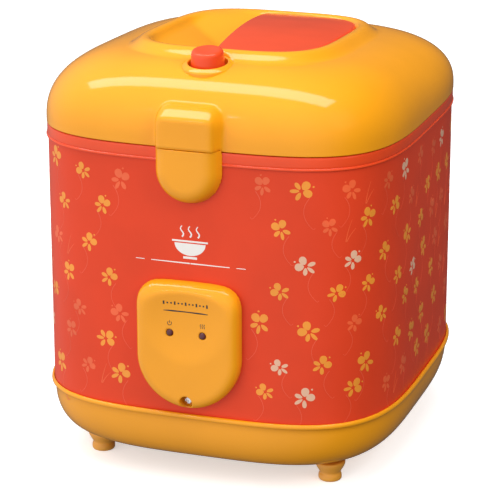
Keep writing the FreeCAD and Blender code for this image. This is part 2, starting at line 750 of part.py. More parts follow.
def plate_grommet():
    parts = [disc(8.0, 196.4, 197.6), disc(8.0, 198.8, COVER_BOTTOM), disc(7.0, COVER_TOP, COVER_TOP + 1.2)]
    return tidy(disc(5.0, 196.4, COVER_TOP + 1.2).fuse(parts))


def lid_seal():
    seal = ring(87.0, 80.2, 198.3, COVER_BOTTOM).fuse(ring(85.5, 82.0, 197.3, COVER_BOTTOM))
    return tidy(seal)


def steam_duct():
    steam, outward = steam_frame()
    chest = box((-11, 59, COVER_TOP), (11, 94, COVER_TOP + 7))
    duct = chest.fuse(rod(steam, outward, 9.0, -24, -6.1))
    cuts = [
        box((-9.5, 60.5, COVER_TOP - 1), (9.5, 92.5, COVER_TOP + 5.5)),
        rod(steam, outward, 7.5, -23, 0),
    ]
    return tidy(duct.cut(cuts))


def steam_cap():
    steam, outward = steam_frame()
    cap = rod(steam, outward, 11.1, -3.6, 0.4)
    centre = steam + outward * 0.4
    closed = [edge for edge in cap.Edges if edge.Closed]
    top = [edge for edge in closed if abs((edge.CenterOfMass - centre).dot(outward)) < 0.05]
    cap = cap.makeFillet(1.0, top)
    cap = cap.fuse(rod(steam, outward, 5.5, -9.5, -3.6))
    slots = []
    for offset in (-3.2, 0.0, 3.2):
        slots.append(box((offset - 0.8, 83.0, 200), (offset + 0.8, 91.0, 240)))
    return tidy(cap.cut(slots))


def lid_hinge_arm():
    arm = cross_rod(HINGE_Y, HINGE_Z, KNUCKLE_RADIUS, -10, 10)
    web = box((-10, 94.2, COVER_TOP), (10, HINGE_Y, 206.4))
    return tidy(arm.fuse(web).cut(cross_rod(HINGE_Y, HINGE_Z, PIN_RADIUS + 0.06, -20, 20)))


# ---- Latch --------------------------------------------------------------------------------
def release_button():
    centre, outward = button_frame()
    cap = Part.makeCone(9.5, 8.6, 7.5, centre, outward)
    tip = centre + outward * 7.5
    top = [edge for edge in cap.Edges if edge.Closed and (edge.CenterOfMass - tip).Length < 0.1]
    cap = cap.makeFillet(1.6, top)
    hollow = Part.makeSphere(40.0, tip + outward * 39.3)
    parts = [rod(centre, outward, 9.5, -8.6, 0), rod(centre, outward, 12.8, -8.6, -6.0),
             rod(centre, outward, 3.5, -27.9, -8.6)]
    return tidy(cap.fuse(parts).cut(hollow))


def button_guide():
    centre, outward = button_frame()
    guide = rod(centre, outward, 13.0, -22.0, -20.0).fuse(rod(centre, outward, 13.9, -22.0, -20.1))
    return tidy(guide.cut([rod(centre, outward, 4.0, -30, 0), box((-20, -66.1, 200), (20, -50, 240))]))


def button_spring():
    centre, outward = button_frame()
    return coil(centre + outward * -19.2, outward, 7.0, 0.6, 9.8, 5)


def latch_hook():
    """Rocker: a tail under the button's stem, and a leg that reaches down into the catch cover."""
    y, z = LATCH_PIVOT
    arm = side_profile([(-118, z - 2.6), (-81, z + 1.4), (-73.5, z + 1.4), (-73.5, z + 3.4), (-82, z + 3.4),
                        (-104, z + 3.0), (-117, z + 1.0)], 5.0)
    eye = cross_rod(y, z, 4.0, -5, 5)
    leg = box((-6, -117.0, 187.5), (6, -115.0, z + 0.5))
    tooth = side_profile([(-115.2, 187.5), (-113.3, 189.6), (-113.3, 190.6), (-115.2, 190.6)], 6.0)
    hook = arm.fuse([eye, leg, tooth])
    return tidy(hook.cut(cross_rod(y, z, 1.56, -10, 10)))


def latch_pin():
    return cross_rod(LATCH_PIVOT[0], LATCH_PIVOT[1], 1.5, -12.0, 12.0)


def latch_bracket():
    """Two ears on a strip on the lid's inner cover that carry the latch pin."""
    y, z = LATCH_PIVOT
    ears = []
    for low in (-11.0, 8.0):
        ears.append(box((low, y - 3.5, COVER_TOP), (low + 3.0, y + 3.5, z + 3.5)))
    strip = box((-11, y + 5.0, COVER_TOP), (11, y + 9.0, COVER_TOP + 1.5))
    sides = [box((low, y - 3.5, COVER_TOP), (low + 3.0, y + 9.0, COVER_TOP + 1.5)) for low in (-11.0, 8.0)]
    bracket = strip.fuse(ears + sides)
    return tidy(bracket.cut(cross_rod(y, z, 1.53, -20, 20)))


def latch_spring():
    y, z = LATCH_PIVOT
    return coil(vec(5.45, y, z), vec(1, 0, 0), 2.8, 0.3, 2.2, 2)


# ---- All pieces ---------------------------------------------------------------------------
def build_nodes():
    makers = [
        base_shell, bottom_plate, bottom_screws, outer_casing, top_collar, inner_liner, keep_warm_band,
        heating_plate, heating_element, plate_legs, thermostat_housing, thermostat_cap, thermostat_spring,
        thermal_fuse, inner_pot, control_panel, panel_bar, lamp_board, panel_screw, catch_cover,
        catch_strike, hinge_bracket, hinge_pin, hinge_springs, hinge_screws, power_inlet, inlet_pins,
        inlet_screws, supply_leads, lamp_leads, lid_shell, grip_panel, lid_inner_cover, lid_screws,
        lid_inner_plate, plate_grommet, lid_seal, steam_duct, steam_cap, lid_hinge_arm, release_button,
        button_guide, button_spring, latch_hook, latch_pin, latch_bracket, latch_spring,
    ]
    nodes = {maker.__name__: maker() for maker in makers}
    nodes["power_lamp_lens"] = lamp_lens(-1)
    nodes["warm_lamp_lens"] = lamp_lens(1)
    for end, y in (("front", -FOOT_Y), ("rear", FOOT_Y)):
        for side, x in (("left", -FOOT_X), ("right", FOOT_X)):
            nodes["foot_" + end + "_" + side] = foot(x, y)
    return nodes


os.makedirs("parts", exist_ok=True)
for name, shape in build_nodes().items():
    shape.exportStep(os.path.join("parts", name + ".step"))
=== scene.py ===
import bpy
import bmesh
import json
import math
import random
import numpy as np
from mathutils import Matrix, Vector


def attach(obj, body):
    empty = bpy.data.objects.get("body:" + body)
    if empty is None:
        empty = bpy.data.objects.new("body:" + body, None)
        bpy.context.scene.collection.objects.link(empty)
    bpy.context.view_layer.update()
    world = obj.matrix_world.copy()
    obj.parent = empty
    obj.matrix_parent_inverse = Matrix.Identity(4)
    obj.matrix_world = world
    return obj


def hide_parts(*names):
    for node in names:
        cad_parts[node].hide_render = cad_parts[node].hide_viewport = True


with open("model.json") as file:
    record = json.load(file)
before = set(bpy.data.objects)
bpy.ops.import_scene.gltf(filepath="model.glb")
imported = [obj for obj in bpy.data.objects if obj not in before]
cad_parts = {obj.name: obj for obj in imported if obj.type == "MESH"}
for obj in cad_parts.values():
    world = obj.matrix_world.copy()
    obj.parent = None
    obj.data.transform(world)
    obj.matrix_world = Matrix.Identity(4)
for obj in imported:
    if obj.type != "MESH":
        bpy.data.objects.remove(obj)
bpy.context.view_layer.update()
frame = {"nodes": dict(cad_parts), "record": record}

# ---- Dimensions, in millimetres ---------------------------------------------------------------
MM = 0.001
PLAN_POWER = 3.91
BASE_POWER = 3.69
FRONT_REACH = 121.2
FOOT_HEIGHT = 11.7
BASE_LIP = (107.1, 114.2)
CASING = (104.6, 111.6)
CASING_HEIGHTS = (43.2, 190.4)
CASING_WALL = 1.5
INLET_OPENING = ((-13.8, 95, 63.7), (13.8, 125, 86.3))

LID_BOTTOM = 198.75
LID_PLAN = (105.3, 112.2)
CROWN_INSET = (47.3, 42.2)
CROWN_POWER_DROP = 0.49
DOME_START = 201.7
DOME_RISE = 33.9
DOME_TILT = 3.24 / 66.0
DOME_POWERS = (2.1, 2.24)
DOME_MEAN_POWER = 2.17
DOME_SCALE = 38.0           # turns the dome's ratio into about a distance
LEAN = 3.06 / 66.0          # the dish rim and the grip panel drop by this towards the back
RIM_PLAN = (54.0, 66.0)
RIM_POWER = 3.8
RIM_Y = 1.0
RIM_FLAT = 0.8
RIM_WIDTH = 10.0
RIM_HEIGHT = 5.0
DISH_PLAN = (51.6, 63.6)
DISH_FLOOR = 218.0
DISH_CREASE = (-37.0, 19.5)
GRIP_PLAN = (50.6, 62.6)
GRIP_Y = 0.6
GRIP_EDGE = 239.4
GRIP_BOTTOM = 236.9
GRIP_CROWN = 3.5
WALL = 2.3
DOME_WALL = WALL + 0.3
SCREW_POSTS = (72.0, 84.0)
SCREW_POST_RADIUS = 4.0

BUTTON = (0.0, -81.0, 238.9)
BUTTON_TILT = math.radians(8.0)
BUTTON_OUT = (0, -math.sin(BUTTON_TILT), math.cos(BUTTON_TILT))
BUTTON_HOLE = 10.9
BUTTON_BOSS = 15.4
BEZEL_SEAT = 13.0
BEZEL_DEPTH = 4.0
STEAM_Y = 87.0
STEAM_TILT = math.radians(15.0)
STEAM_BOSS = 13.4
HINGE = (115.0, 202.0)
HINGE_BARREL = 6.6

LATCH_FRONT = 121.0
LATCH_BACK = 111.9
LATCH_HALF = 19.2
LATCH_SPLAY = 0.36
TONGUE_BOTTOM = 168.0
BUMP_EDGE_Z = 217.0
BUMP_FACET = (0.609, 0.793)
BUMP_CREST = (-115.8, 221.7)
BUMP_CREST_SLOPE = (0.09, 0.996)
BUMP_SHOULDER_Z = 216.4

PANEL_HALF = 29.7
PANEL_TOP = 123.5
PANEL_BOTTOM = 51.0
PANEL_BACK = 111.7
PANEL_BROW_Z = 112.0
PANEL_DISH_Z = 102.6
PANEL_DISH_RADIUS = 112.0
PANEL_DISH_DEPTH = 2.4
PANEL_SCREW_Z = 55.2
PANEL_SCREW_SEAT = -114.6
LAMP = (9.6, 95.0)
LAMP_MARK_Z = 100.6
BAR_Z = 108.0
BAR_HALF = 13.0
TICKS_Z = 112.6
EMBLEM_Z = 145.0
FOOT_PLACES = {"foot_front_left": (-69.5, -73.2), "foot_front_right": (69.5, -73.2),
               "foot_rear_left": (-69.5, 73.2), "foot_rear_right": (69.5, 73.2)}


# ---- Mesh helpers -----------------------------------------------------------------------------
def add_object(name, mesh, smooth=True):
    obj = bpy.data.objects.new(name, mesh)
    bpy.context.scene.collection.objects.link(obj)
    if smooth:
        mesh.polygons.foreach_set("use_smooth", [True] * len(mesh.polygons))
    mesh.update()
    return obj


def mesh_object(name, points, faces, smooth=True):
    """Points come in millimetres."""
    mesh = bpy.data.meshes.new(name)
    mesh.from_pydata([tuple(c * MM for c in p) for p in points], [], faces)
    edit = bmesh.new()
    edit.from_mesh(mesh)
    bmesh.ops.recalc_face_normals(edit, faces=edit.faces)
    edit.to_mesh(mesh)
    edit.free()
    return add_object(name, mesh, smooth)


def crisp(obj, degrees=35.0):
    """Edges sharper than this keep their crease, the rest shade smoothly."""
    obj.data.set_sharp_from_angle(angle=math.radians(degrees))
    return obj


def baked(obj):
    """Applies the object's modifiers."""
    graph = bpy.context.evaluated_depsgraph_get()
    mesh = bpy.data.meshes.new_from_object(obj.evaluated_get(graph))
    obj.modifiers.clear()
    obj.data = mesh
    return obj


def cut_away(obj, tools):
    for tool in tools:
        step = obj.modifiers.new("cut", "BOOLEAN")
        step.operation = "DIFFERENCE"
        step.solver = "EXACT"
        step.object = tool
    baked(obj)
    for tool in tools:
        bpy.data.objects.remove(tool)
    return obj


def outline(half_x, half_y, power, count):
    """Points round a superellipse, spaced evenly along its length."""
    angles = np.linspace(0, 2 * math.pi, 4096, endpoint=False)
    c = np.cos(angles)
    s = np.sin(angles)
    reach = (np.abs(c / half_x) ** power + np.abs(s / half_y) ** power) ** (-1 / power)
    x = reach * c
    y = reach * s
    steps = np.hypot(np.diff(x, append=x[0]), np.diff(y, append=y[0]))
    along = np.concatenate([[0], np.cumsum(steps)])
    want = np.linspace(0, along[-1], count, endpoint=False)
    x = np.interp(want, along, np.append(x, x[0]))
    y = np.interp(want, along, np.append(y, y[0]))
    return x, y


def tube_faces(rows, count):
    """Quads between neighbouring rows of count points, the last row joined to the first."""
    faces = []
    for row in range(rows):
        a = row * count
        b = (row + 1) % rows * count
        for i in range(count):
            j = (i + 1) % count
            faces.append((a + i, a + j, b + j, b + i))
    return faces


def lofted(name, sections, count=384):
    """Closed ring: each section is (half x, half y, power, z), joined in turn and back to the first."""
    points = []
    for half_x, half_y, power, z in sections:
        x, y = outline(half_x, half_y, power, count)
        points.extend(zip(x, y, [z] * count))
    return mesh_object(name, points, tube_faces(len(sections), count))


def lathe_points(profile, count, place):
    """A circle of points for each (radius, height) of the profile."""
    points = []
    for radius, height in profile:
        for i in range(count):
            angle = 2 * math.pi * i / count
            points.append(place @ Vector((radius * math.cos(angle), radius * math.sin(angle), height)))
    return points


def turned(name, profile, count=96, place=Matrix.Identity(4)):
    """Lathe: profile is (radius, height) from the axis at one end to the axis at the other."""
    points = [place @ Vector((0, 0, profile[0][1]))]
    points += lathe_points(profile[1:-1], count, place)
    points.append(place @ Vector((0, 0, profile[-1][1])))
    faces = []
    rows = len(profile) - 2
    for i in range(count):
        j = (i + 1) % count
        faces.append((0, 1 + j, 1 + i))
        for row in range(rows - 1):
            a = 1 + row * count
            b = a + count
            faces.append((a + i, a + j, b + j, b + i))
        last = 1 + (rows - 1) * count
        faces.append((last + i, last + j, len(points) - 1))
    return mesh_object(name, points, faces)


def turned_ring(name, profile, count, place):
    """Lathe of a closed (radius, height) loop that stays clear of the axis."""
    return mesh_object(name, lathe_points(profile, count, place), tube_faces(len(profile), count))


def rounded(corners, radius, steps=5):
    """Softens a (radius, height) profile's inner corners with short arcs."""
    path = [corners[0]]
    for before, corner, after in zip(corners, corners[1:], corners[2:]):
        p = Vector(corner)
        back = Vector(before) - p
        ahead = Vector(after) - p
        reach = min(radius, back.length * 0.45, ahead.length * 0.45)
        a = p + back.normalized() * reach
        b = p + ahead.normalized() * reach
        for k in range(steps + 1):
            t = k / steps
            path.append(tuple(a * (1 - t) ** 2 + p * 2 * t * (1 - t) + b * t ** 2))
    path.append(corners[-1])
    return path


def placed(origin, out):
    """Frame with its Z along out."""
    turn = Vector((0, 0, 1)).rotation_difference(Vector(out)).to_matrix().to_4x4()
    return Matrix.Translation(Vector(origin)) @ turn


def brick(name, low, high, bevel=0.6, segments=3):
    mesh = bpy.data.meshes.new(name)
    edit = bmesh.new()
    bmesh.ops.create_cube(edit, size=1.0)
    size = [(b - a) * MM for a, b in zip(low, high)]
    middle = Vector([(a + b) / 2 * MM for a, b in zip(low, high)])
    bmesh.ops.scale(edit, vec=size, verts=edit.verts)
    bmesh.ops.translate(edit, vec=middle, verts=edit.verts)
    if bevel:
        bmesh.ops.bevel(edit, geom=list(edit.edges), offset=bevel * MM, segments=segments, profile=0.5,
                        affect="EDGES")
    edit.to_mesh(mesh)
    edit.free()
    return add_object(name, mesh)


def rod(name, start, end, radius):
    """Plain rod, used to cut with."""
    axis = Vector(end) - Vector(start)
    profile = [(0, 0), (radius, 0), (radius, axis.length), (0, axis.length)]
    return turned(name, profile, 64, placed(start, axis.normalized()))


# ---- Smooth solids from distance fields -------------------------------------------------------
def soft_min(a, b, k):
    h = np.clip(0.5 + 0.5 * (b - a) / k, 0, 1)
    return b * (1 - h) + a * h - k * h * (1 - h)


def soft_max(a, b, k):
    return -soft_min(-a, -b, k)


def neighbours(axis):
    """Indices of each grid point and of the next one along an axis."""
    lower = [slice(None)] * 3
    upper = [slice(None)] * 3
    lower[axis] = slice(0, -1)
    upper[axis] = slice(1, None)
    return tuple(lower), tuple(upper)


def cell_points(value, inside, counts):
    """Which cells the surface passes through, and the middle of its crossings in each, in cells."""
    total = np.zeros([n - 1 for n in counts] + [3])
    hits = np.zeros([n - 1 for n in counts])
    for axis in range(3):
        lower, upper = neighbours(axis)
        va = value[lower]
        vb = value[upper]
        crossing = inside[lower] != inside[upper]
        with np.errstate(divide="ignore", invalid="ignore"):
            part = np.where(crossing, va / (va - vb), 0.0)
        others = [k for k in range(3) if k != axis]
        for p in (0, 1):
            for q in (0, 1):
                window = [slice(None)] * 3
                window[others[0]] = slice(p, counts[others[0]] - 1 + p)
                window[others[1]] = slice(q, counts[others[1]] - 1 + q)
                near = crossing[tuple(window)]
                hits += near
                total[..., axis] += np.where(near, part[tuple(window)], 0)
                total[..., others[0]] += near * p
                total[..., others[1]] += near * q
    live = hits > 0
    return live, np.argwhere(live) + total[live] / hits[live][:, None]


def cell_quads(inside, number, counts):
    """One quad across each grid edge that the surface crosses."""
    quads = []
    for axis in range(3):
        lower, upper = neighbours(axis)
        b = (axis + 1) % 3
        c = (axis + 2) % 3
        places = np.argwhere(inside[lower] != inside[upper])
        places = places[(places[:, b] > 0) & (places[:, c] > 0)]
        places = places[(places[:, b] < counts[b] - 1) & (places[:, c] < counts[c] - 1)]
        corners = []
        for db, dc in ((0, 0), (1, 0), (1, 1), (0, 1)):
            cell = places.copy()
            cell[:, b] -= db
            cell[:, c] -= dc
            corners.append(number[cell[:, 0], cell[:, 1], cell[:, 2]])
        quad = np.stack(corners, axis=1)
        flip = inside[tuple(places.T)]
        quad[~flip] = quad[~flip][:, ::-1]
        quads.append(quad[(quad >= 0).all(axis=1)])
    return np.concatenate(quads)


def pulled_on(field, start, pitch):
    """Moves points along the field's slope onto the surface, by less than a cell."""
    step = 0.05
    spots = start
    for _ in range(4):
        px, py, pz = spots.T
        here = field(px, py, pz)
        slope = np.stack([
            (field(px + step, py, pz) - field(px - step, py, pz)),
            (field(px, py + step, pz) - field(px, py - step, pz)),
            (field(px, py, pz + step) - field(px, py, pz - step)),
        ], axis=1) / (2 * step)
        size = np.maximum((slope ** 2).sum(axis=1), 0.05)
        move = -slope * (here / size)[:, None]
        length = np.linalg.norm(move, axis=1, keepdims=True)
        spots = spots + move * np.minimum(1, 0.4 * pitch / np.maximum(length, 1e-9))
        spots = start + np.clip(spots - start, -0.9 * pitch, 0.9 * pitch)
    return spots


def cut_flat(edit, height, up):
    """Cuts off what lies beyond a level plane and fills the cut."""
    everything = list(edit.verts) + list(edit.edges) + list(edit.faces)
    bmesh.ops.bisect_plane(edit, geom=everything, dist=1e-7, plane_co=(0, 0, height * MM),
                           plane_no=(0, 0, up), clear_outer=True)
    loose = [e for e in edit.edges if e.is_boundary]
    bmesh.ops.triangle_fill(edit, use_beauty=True, edges=loose, normal=(0, 0, up))


def field_mesh(name, field, low, high, pitch, floor=None, ceiling=None):
    """Closed mesh of the region where field < 0, cut flat at floor and at ceiling, where given."""
    counts = [int(math.ceil((b - a) / pitch)) + 1 for a, b in zip(low, high)]
    axes = [a + pitch * np.arange(n) for a, n in zip(low, counts)]
    x, y, z = np.meshgrid(*axes, indexing="ij", sparse=True)
    value = np.broadcast_to(field(x, y, z), counts).astype(np.float64).copy()
    value[value == 0] = 1e-9
    inside = value < 0
    live, middles = cell_points(value, inside, counts)
    number = np.full(live.shape, -1, dtype=np.int64)
    number[live] = np.arange(live.sum())
    spots = pulled_on(field, np.array(low) + middles * pitch, pitch)
    mesh = bpy.data.meshes.new(name)
    mesh.from_pydata((spots * MM).tolist(), [], cell_quads(inside, number, counts).tolist())
    edit = bmesh.new()
    edit.from_mesh(mesh)
    if floor is not None:
        cut_flat(edit, floor, -1)
    if ceiling is not None:
        cut_flat(edit, ceiling, 1)
    bmesh.ops.dissolve_degenerate(edit, dist=2e-6, edges=edit.edges)
    bmesh.ops.recalc_face_normals(edit, faces=edit.faces)
    edit.to_mesh(mesh)
    edit.free()
    return add_object(name, mesh)


def plan_distance(x, y, half_x, half_y, power):
    """About the distance outside a superellipse."""
    u = np.abs(x / half_x) + 1e-9
    v = np.abs(y / half_y) + 1e-9
    g = (u ** power + v ** power) ** (1 / power)
    gu = (u / g) ** (power - 1) / half_x
    gv = (v / g) ** (power - 1) / half_y
    return (g - 1) / np.hypot(gu, gv)


# ---- Lid --------------------------------------------------------------------------------------
def run_in(x, y):
    """How far in from the seam a point lies: 0 at the seam, 1 on the crown."""
    ax = np.abs(x)
    ay = np.abs(y)

    def excess(k):
        power = PLAN_POWER - CROWN_POWER_DROP * k
        reach_x = LID_PLAN[0] - CROWN_INSET[0] * k
        reach_y = LID_PLAN[1] - CROWN_INSET[1] * k
        return ((ax / reach_x) ** power + (ay / reach_y) ** power) ** (1 / power) - 1

    low = np.full(np.broadcast(ax, ay).shape, -0.4)
    high = np.full(low.shape, 1.3)
    for _ in range(6):
        middle = (low + high) / 2
        within = excess(middle) < 0
        low = np.where(within, middle, low)
        high = np.where(within, high, middle)
    k = (low + high) / 2
    for _ in range(3):
        here = excess(k)
        slope = (excess(k + 1e-4) - here) / 1e-4
        k = np.clip(k - here / np.maximum(slope, 0.05), -0.4, 1.3)
    return k


def rim_profile(rim):
    """Height of the raised rim above the crown, by distance outside its ridge."""
    t = np.clip((rim - RIM_FLAT) / RIM_WIDTH, 0, 1)
    return RIM_HEIGHT / 2 * (1 + np.cos(math.pi * t))


def dome_fields(x, y, z):
    """The outside with its raised rim, and the plain dome that the inside follows."""
    side = np.maximum(1 - run_in(x, y), 0) ** DOME_POWERS[0]
    rim = plan_distance(x, y - RIM_Y, RIM_PLAN[0], RIM_PLAN[1], RIM_POWER)
    both = []
    for raised in (rim_profile(rim), 0.0):
        h = np.maximum((z - raised - DOME_START) / (DOME_RISE - DOME_TILT * y), 0)
        both.append(((side + h ** DOME_POWERS[1] + 1e-12) ** (1 / DOME_MEAN_POWER) - 1) * DOME_SCALE)
    return both


def dish_field(x, y, z):
    """The finger recess: a floor that falls to the right, a second plane behind a crease, curved walls."""
    level = z + LEAN * y
    wall = plan_distance(x, y - RIM_Y, DISH_PLAN[0], DISH_PLAN[1], RIM_POWER)
    left = 235.5 - 0.42 * (x + 47.0)
    dx = x - DISH_CREASE[0]
    dy = y - DISH_CREASE[1]
    along = dx * 0.80 - dy * 0.60
    across = dx * 0.60 + dy * 0.80
    far = 231.3 - 0.343 * along + 0.06 * across
    ground = soft_max(left, np.minimum(far, 242.0), 1.0)
    ground = soft_max(ground, DISH_FLOOR + 0 * x, 2.0)
    ground = soft_max(ground, 236.2 - 6.0 * np.maximum(16.0 - x, 0), 1.0)
    return soft_max(wall, ground - level, 5.0)


def button_axis(x, y, z):
    """Distance from the release button's axis, and height along it."""
    s = math.sin(BUTTON_TILT)
    c = math.cos(BUTTON_TILT)
    dy = y - BUTTON[1]
    dz = z - BUTTON[2]
    return np.hypot(x, dy * c + dz * s), dz * c - dy * s


def steam_axis(x, y, z):
    s = math.sin(STEAM_TILT)
    c = math.cos(STEAM_TILT)
    dy = y - STEAM_Y
    dz = z - STEAM_Z
    return np.hypot(x, dy * c - dz * s), dz * c + dy * s


def crown_height(y):
    """Height of the plain dome on the middle line."""
    k = (LID_PLAN[1] - abs(y)) / CROWN_INSET[1]
    h = (1 - (1 - k) ** DOME_POWERS[0]) ** (1 / DOME_POWERS[1])
    return DOME_START + DOME_RISE * h - DOME_TILT * h * y


STEAM_Z = crown_height(STEAM_Y) + 0.6


def latch_width(y):
    """Half width of the latch bump and the catch cover, a little wider towards the back."""
    return LATCH_HALF + LATCH_SPLAY * (np.clip(y, -FRONT_REACH, -111.0) + LATCH_BACK)


def bump_field(x, y, z):
    """The latch bump: front, slanting facet, crest, sides and slanting shoulders."""
    front = -(y + LATCH_FRONT)
    facet = front * BUMP_FACET[0] + (z - BUMP_EDGE_Z) * BUMP_FACET[1]
    crest = -(y - BUMP_CREST[0]) * BUMP_CREST_SLOPE[0] + (z - BUMP_CREST[1]) * BUMP_CREST_SLOPE[1]
    top = soft_max(front, soft_max(facet, crest, 0.9), 1.3)
    sides = (np.abs(x) - latch_width(y)) * 0.94
    shoulder = (np.abs(x) - latch_width(y) + 0.8 * (z - BUMP_SHOULDER_Z)) * 0.78
    hull = soft_max(top, soft_max(sides, shoulder, 3.0), 3.0)
    return np.maximum(hull, np.maximum(y + 92.0, 199.7 - z))


def hinge_field(x, y, z):
    """Room for the hinge barrel and for the lid's hinge arm."""
    around = np.hypot(y - HINGE[0], z - HINGE[1]) - HINGE_BARREL
    barrel = np.maximum(around, np.abs(x) - 28.6)
    slot = np.maximum(np.maximum(np.abs(x) - 10.3, 98.0 - y), z - 206.8)
    return np.minimum(barrel, slot)


def hollow_field(x, y, z, plain, dish):
    """The lid's inside, with the bosses of the button, the steam vent and the screws left solid."""
    reach, lift = button_axis(x, y, z)
    vent, rise = steam_axis(x, y, z)
    inner_front = -119.4 - y + np.clip(0.4 * (z - 204.5), 0, 1.2)
    inner_bump = np.maximum(np.maximum(np.abs(x) - 12.6, inner_front), np.maximum(z - 211.5, y + 98.0))
    hollow = np.minimum(plain + DOME_WALL, inner_bump)
    hollow = np.maximum(hollow, WALL - dish)
    hollow = np.maximum(hollow, -np.maximum(reach - BUTTON_BOSS, -20.0 - lift))
    hollow = np.maximum(hollow, -np.maximum(vent - STEAM_BOSS, -6.0 - rise))
    posts = np.hypot(np.abs(x) - SCREW_POSTS[0], np.abs(y) - SCREW_POSTS[1])
    return np.maximum(hollow, SCREW_POST_RADIUS - posts)


def opening_fields(x, y, z):
    """The stepped bores for the release button and for the steam cap."""
    reach, lift = button_axis(x, y, z)
    vent, rise = steam_axis(x, y, z)
    hole = np.minimum(np.maximum(reach - BUTTON_HOLE, -8.0 - lift), np.maximum(reach - 13.2, lift + 5.0))
    hole = np.minimum(hole, np.maximum(reach - BEZEL_SEAT, -BEZEL_DEPTH - 0.1 - lift))
    vents = np.minimum(np.maximum(vent - 11.5, -4.0 - rise), np.maximum(vent - 6.0, -12.0 - rise))
    return hole, vents


def lid_field(x, y, z):
    dome, plain = dome_fields(x, y, z)
    dish = dish_field(x, y, z)
    hole, vents = opening_fields(x, y, z)
    body = soft_min(dome, bump_field(x, y, z), 1.6)
    body = soft_max(body, -dish, 2.6)
    body = soft_max(body, -hollow_field(x, y, z, plain, dish), 0.6)
    body = soft_max(body, -hole, 0.9)
    body = soft_max(body, -vents, 0.8)
    return soft_max(body, -hinge_field(x, y, z), 0.6)


def build_lid():
    return field_mesh("lid_shell_finished", lid_field, (-109, -125, 192.0), (109, 117, 252), 1.3,
                      floor=LID_BOTTOM)


def grip_field(x, y, z):
    level = z + LEAN * y
    wall = plan_distance(x, y - GRIP_Y, GRIP_PLAN[0], GRIP_PLAN[1], RIM_POWER)
    crown = GRIP_EDGE + GRIP_CROWN * (1 - (y / 63.0) ** 2) * (1 - np.clip(x / 51.0, 0, 1) ** 2.2)
    edge = -(x + 9.0 + 0.098 * y)
    top = soft_max(wall, level - crown, 1.6)
    lip = soft_max(edge, level - crown, 1.6)
    return soft_max(top, np.maximum(lip, GRIP_BOTTOM - level), 0.4)


def build_grip():
    return field_mesh("grip_panel_finished", grip_field, (-19, -65.1, 232.0), (53, 66.2, 248), 0.8)


# ---- Latch cover and control panel ------------------------------------------------------------
def tongue_field(x, y, z):
    half = latch_width(y)
    middle = TONGUE_BOTTOM + LATCH_HALF
    side = np.abs(x) - half
    low = np.hypot(x, np.minimum(z - middle, 0)) - half
    edge = np.where(z < middle, low, side)
    hull = soft_max(edge * 0.94, -(y + LATCH_FRONT), 6.0)
    pocket = np.maximum(np.maximum(np.abs(x) - 13.0, np.abs(z - 195.0) - 11.0), -119.3 - y)
    over = np.maximum(198.3 - z, -112.6 - y)
    return np.maximum(np.maximum(hull, -soft_min(pocket, over, 0.4)), y + LATCH_BACK)


def build_tongue():
    return field_mesh("catch_cover_finished", tongue_field, (-22, -123, 164), (22, -110, 204), 0.7,
                      ceiling=199.6)


def shield_distance(x, z, half):
    """Distance outside the panel's outline: half-round bottom, straight sides, gently arched top."""
    low_centre = PANEL_BOTTOM + PANEL_HALF
    bottom = np.hypot(x, np.minimum(z - low_centre, 0)) - half
    side = np.abs(x) - half
    sides = np.where(z < low_centre, bottom, side)
    shrink = PANEL_HALF - half
    arch = z - (PANEL_TOP - shrink - 1.6 * (x / 30.0) ** 2)
    return soft_max(sides, arch, 13.0)


def panel_field(x, y, z):
    edge = shield_distance(x, z, PANEL_HALF + 0.2)
    brow = 0.01925 * np.maximum(z - PANEL_BROW_Z, 0) ** 2
    front = -(y + FRONT_REACH) + brow
    hull = soft_max(edge, front, 6.5)
    deep = y + FRONT_REACH + PANEL_DISH_RADIUS - PANEL_DISH_DEPTH
    dish = np.sqrt(x ** 2 + deep ** 2 + (z - PANEL_DISH_Z) ** 2) - PANEL_DISH_RADIUS
    body = soft_max(hull, -dish, 0.7)
    well = np.maximum(np.hypot(x, z - PANEL_SCREW_Z) - 3.6, y - PANEL_SCREW_SEAT)
    body = soft_max(body, -well, 0.5)
    lamps = np.hypot(np.abs(x) - LAMP[0], z - LAMP[1]) - 2.1
    body = soft_max(body, -lamps, 0.4)
    inner = np.maximum(shield_distance(x, z, PANEL_HALF - 2.5), -116.9 - y)
    boss = np.hypot(x, z - PANEL_SCREW_Z) - 5.3
    body = np.maximum(body, -np.maximum(inner, -boss))
    return np.maximum(body, y + PANEL_BACK)


def build_panel():
    return field_mesh("control_panel_finished", panel_field, (-32, -123.2, 49), (32, -110, 126), 0.7)


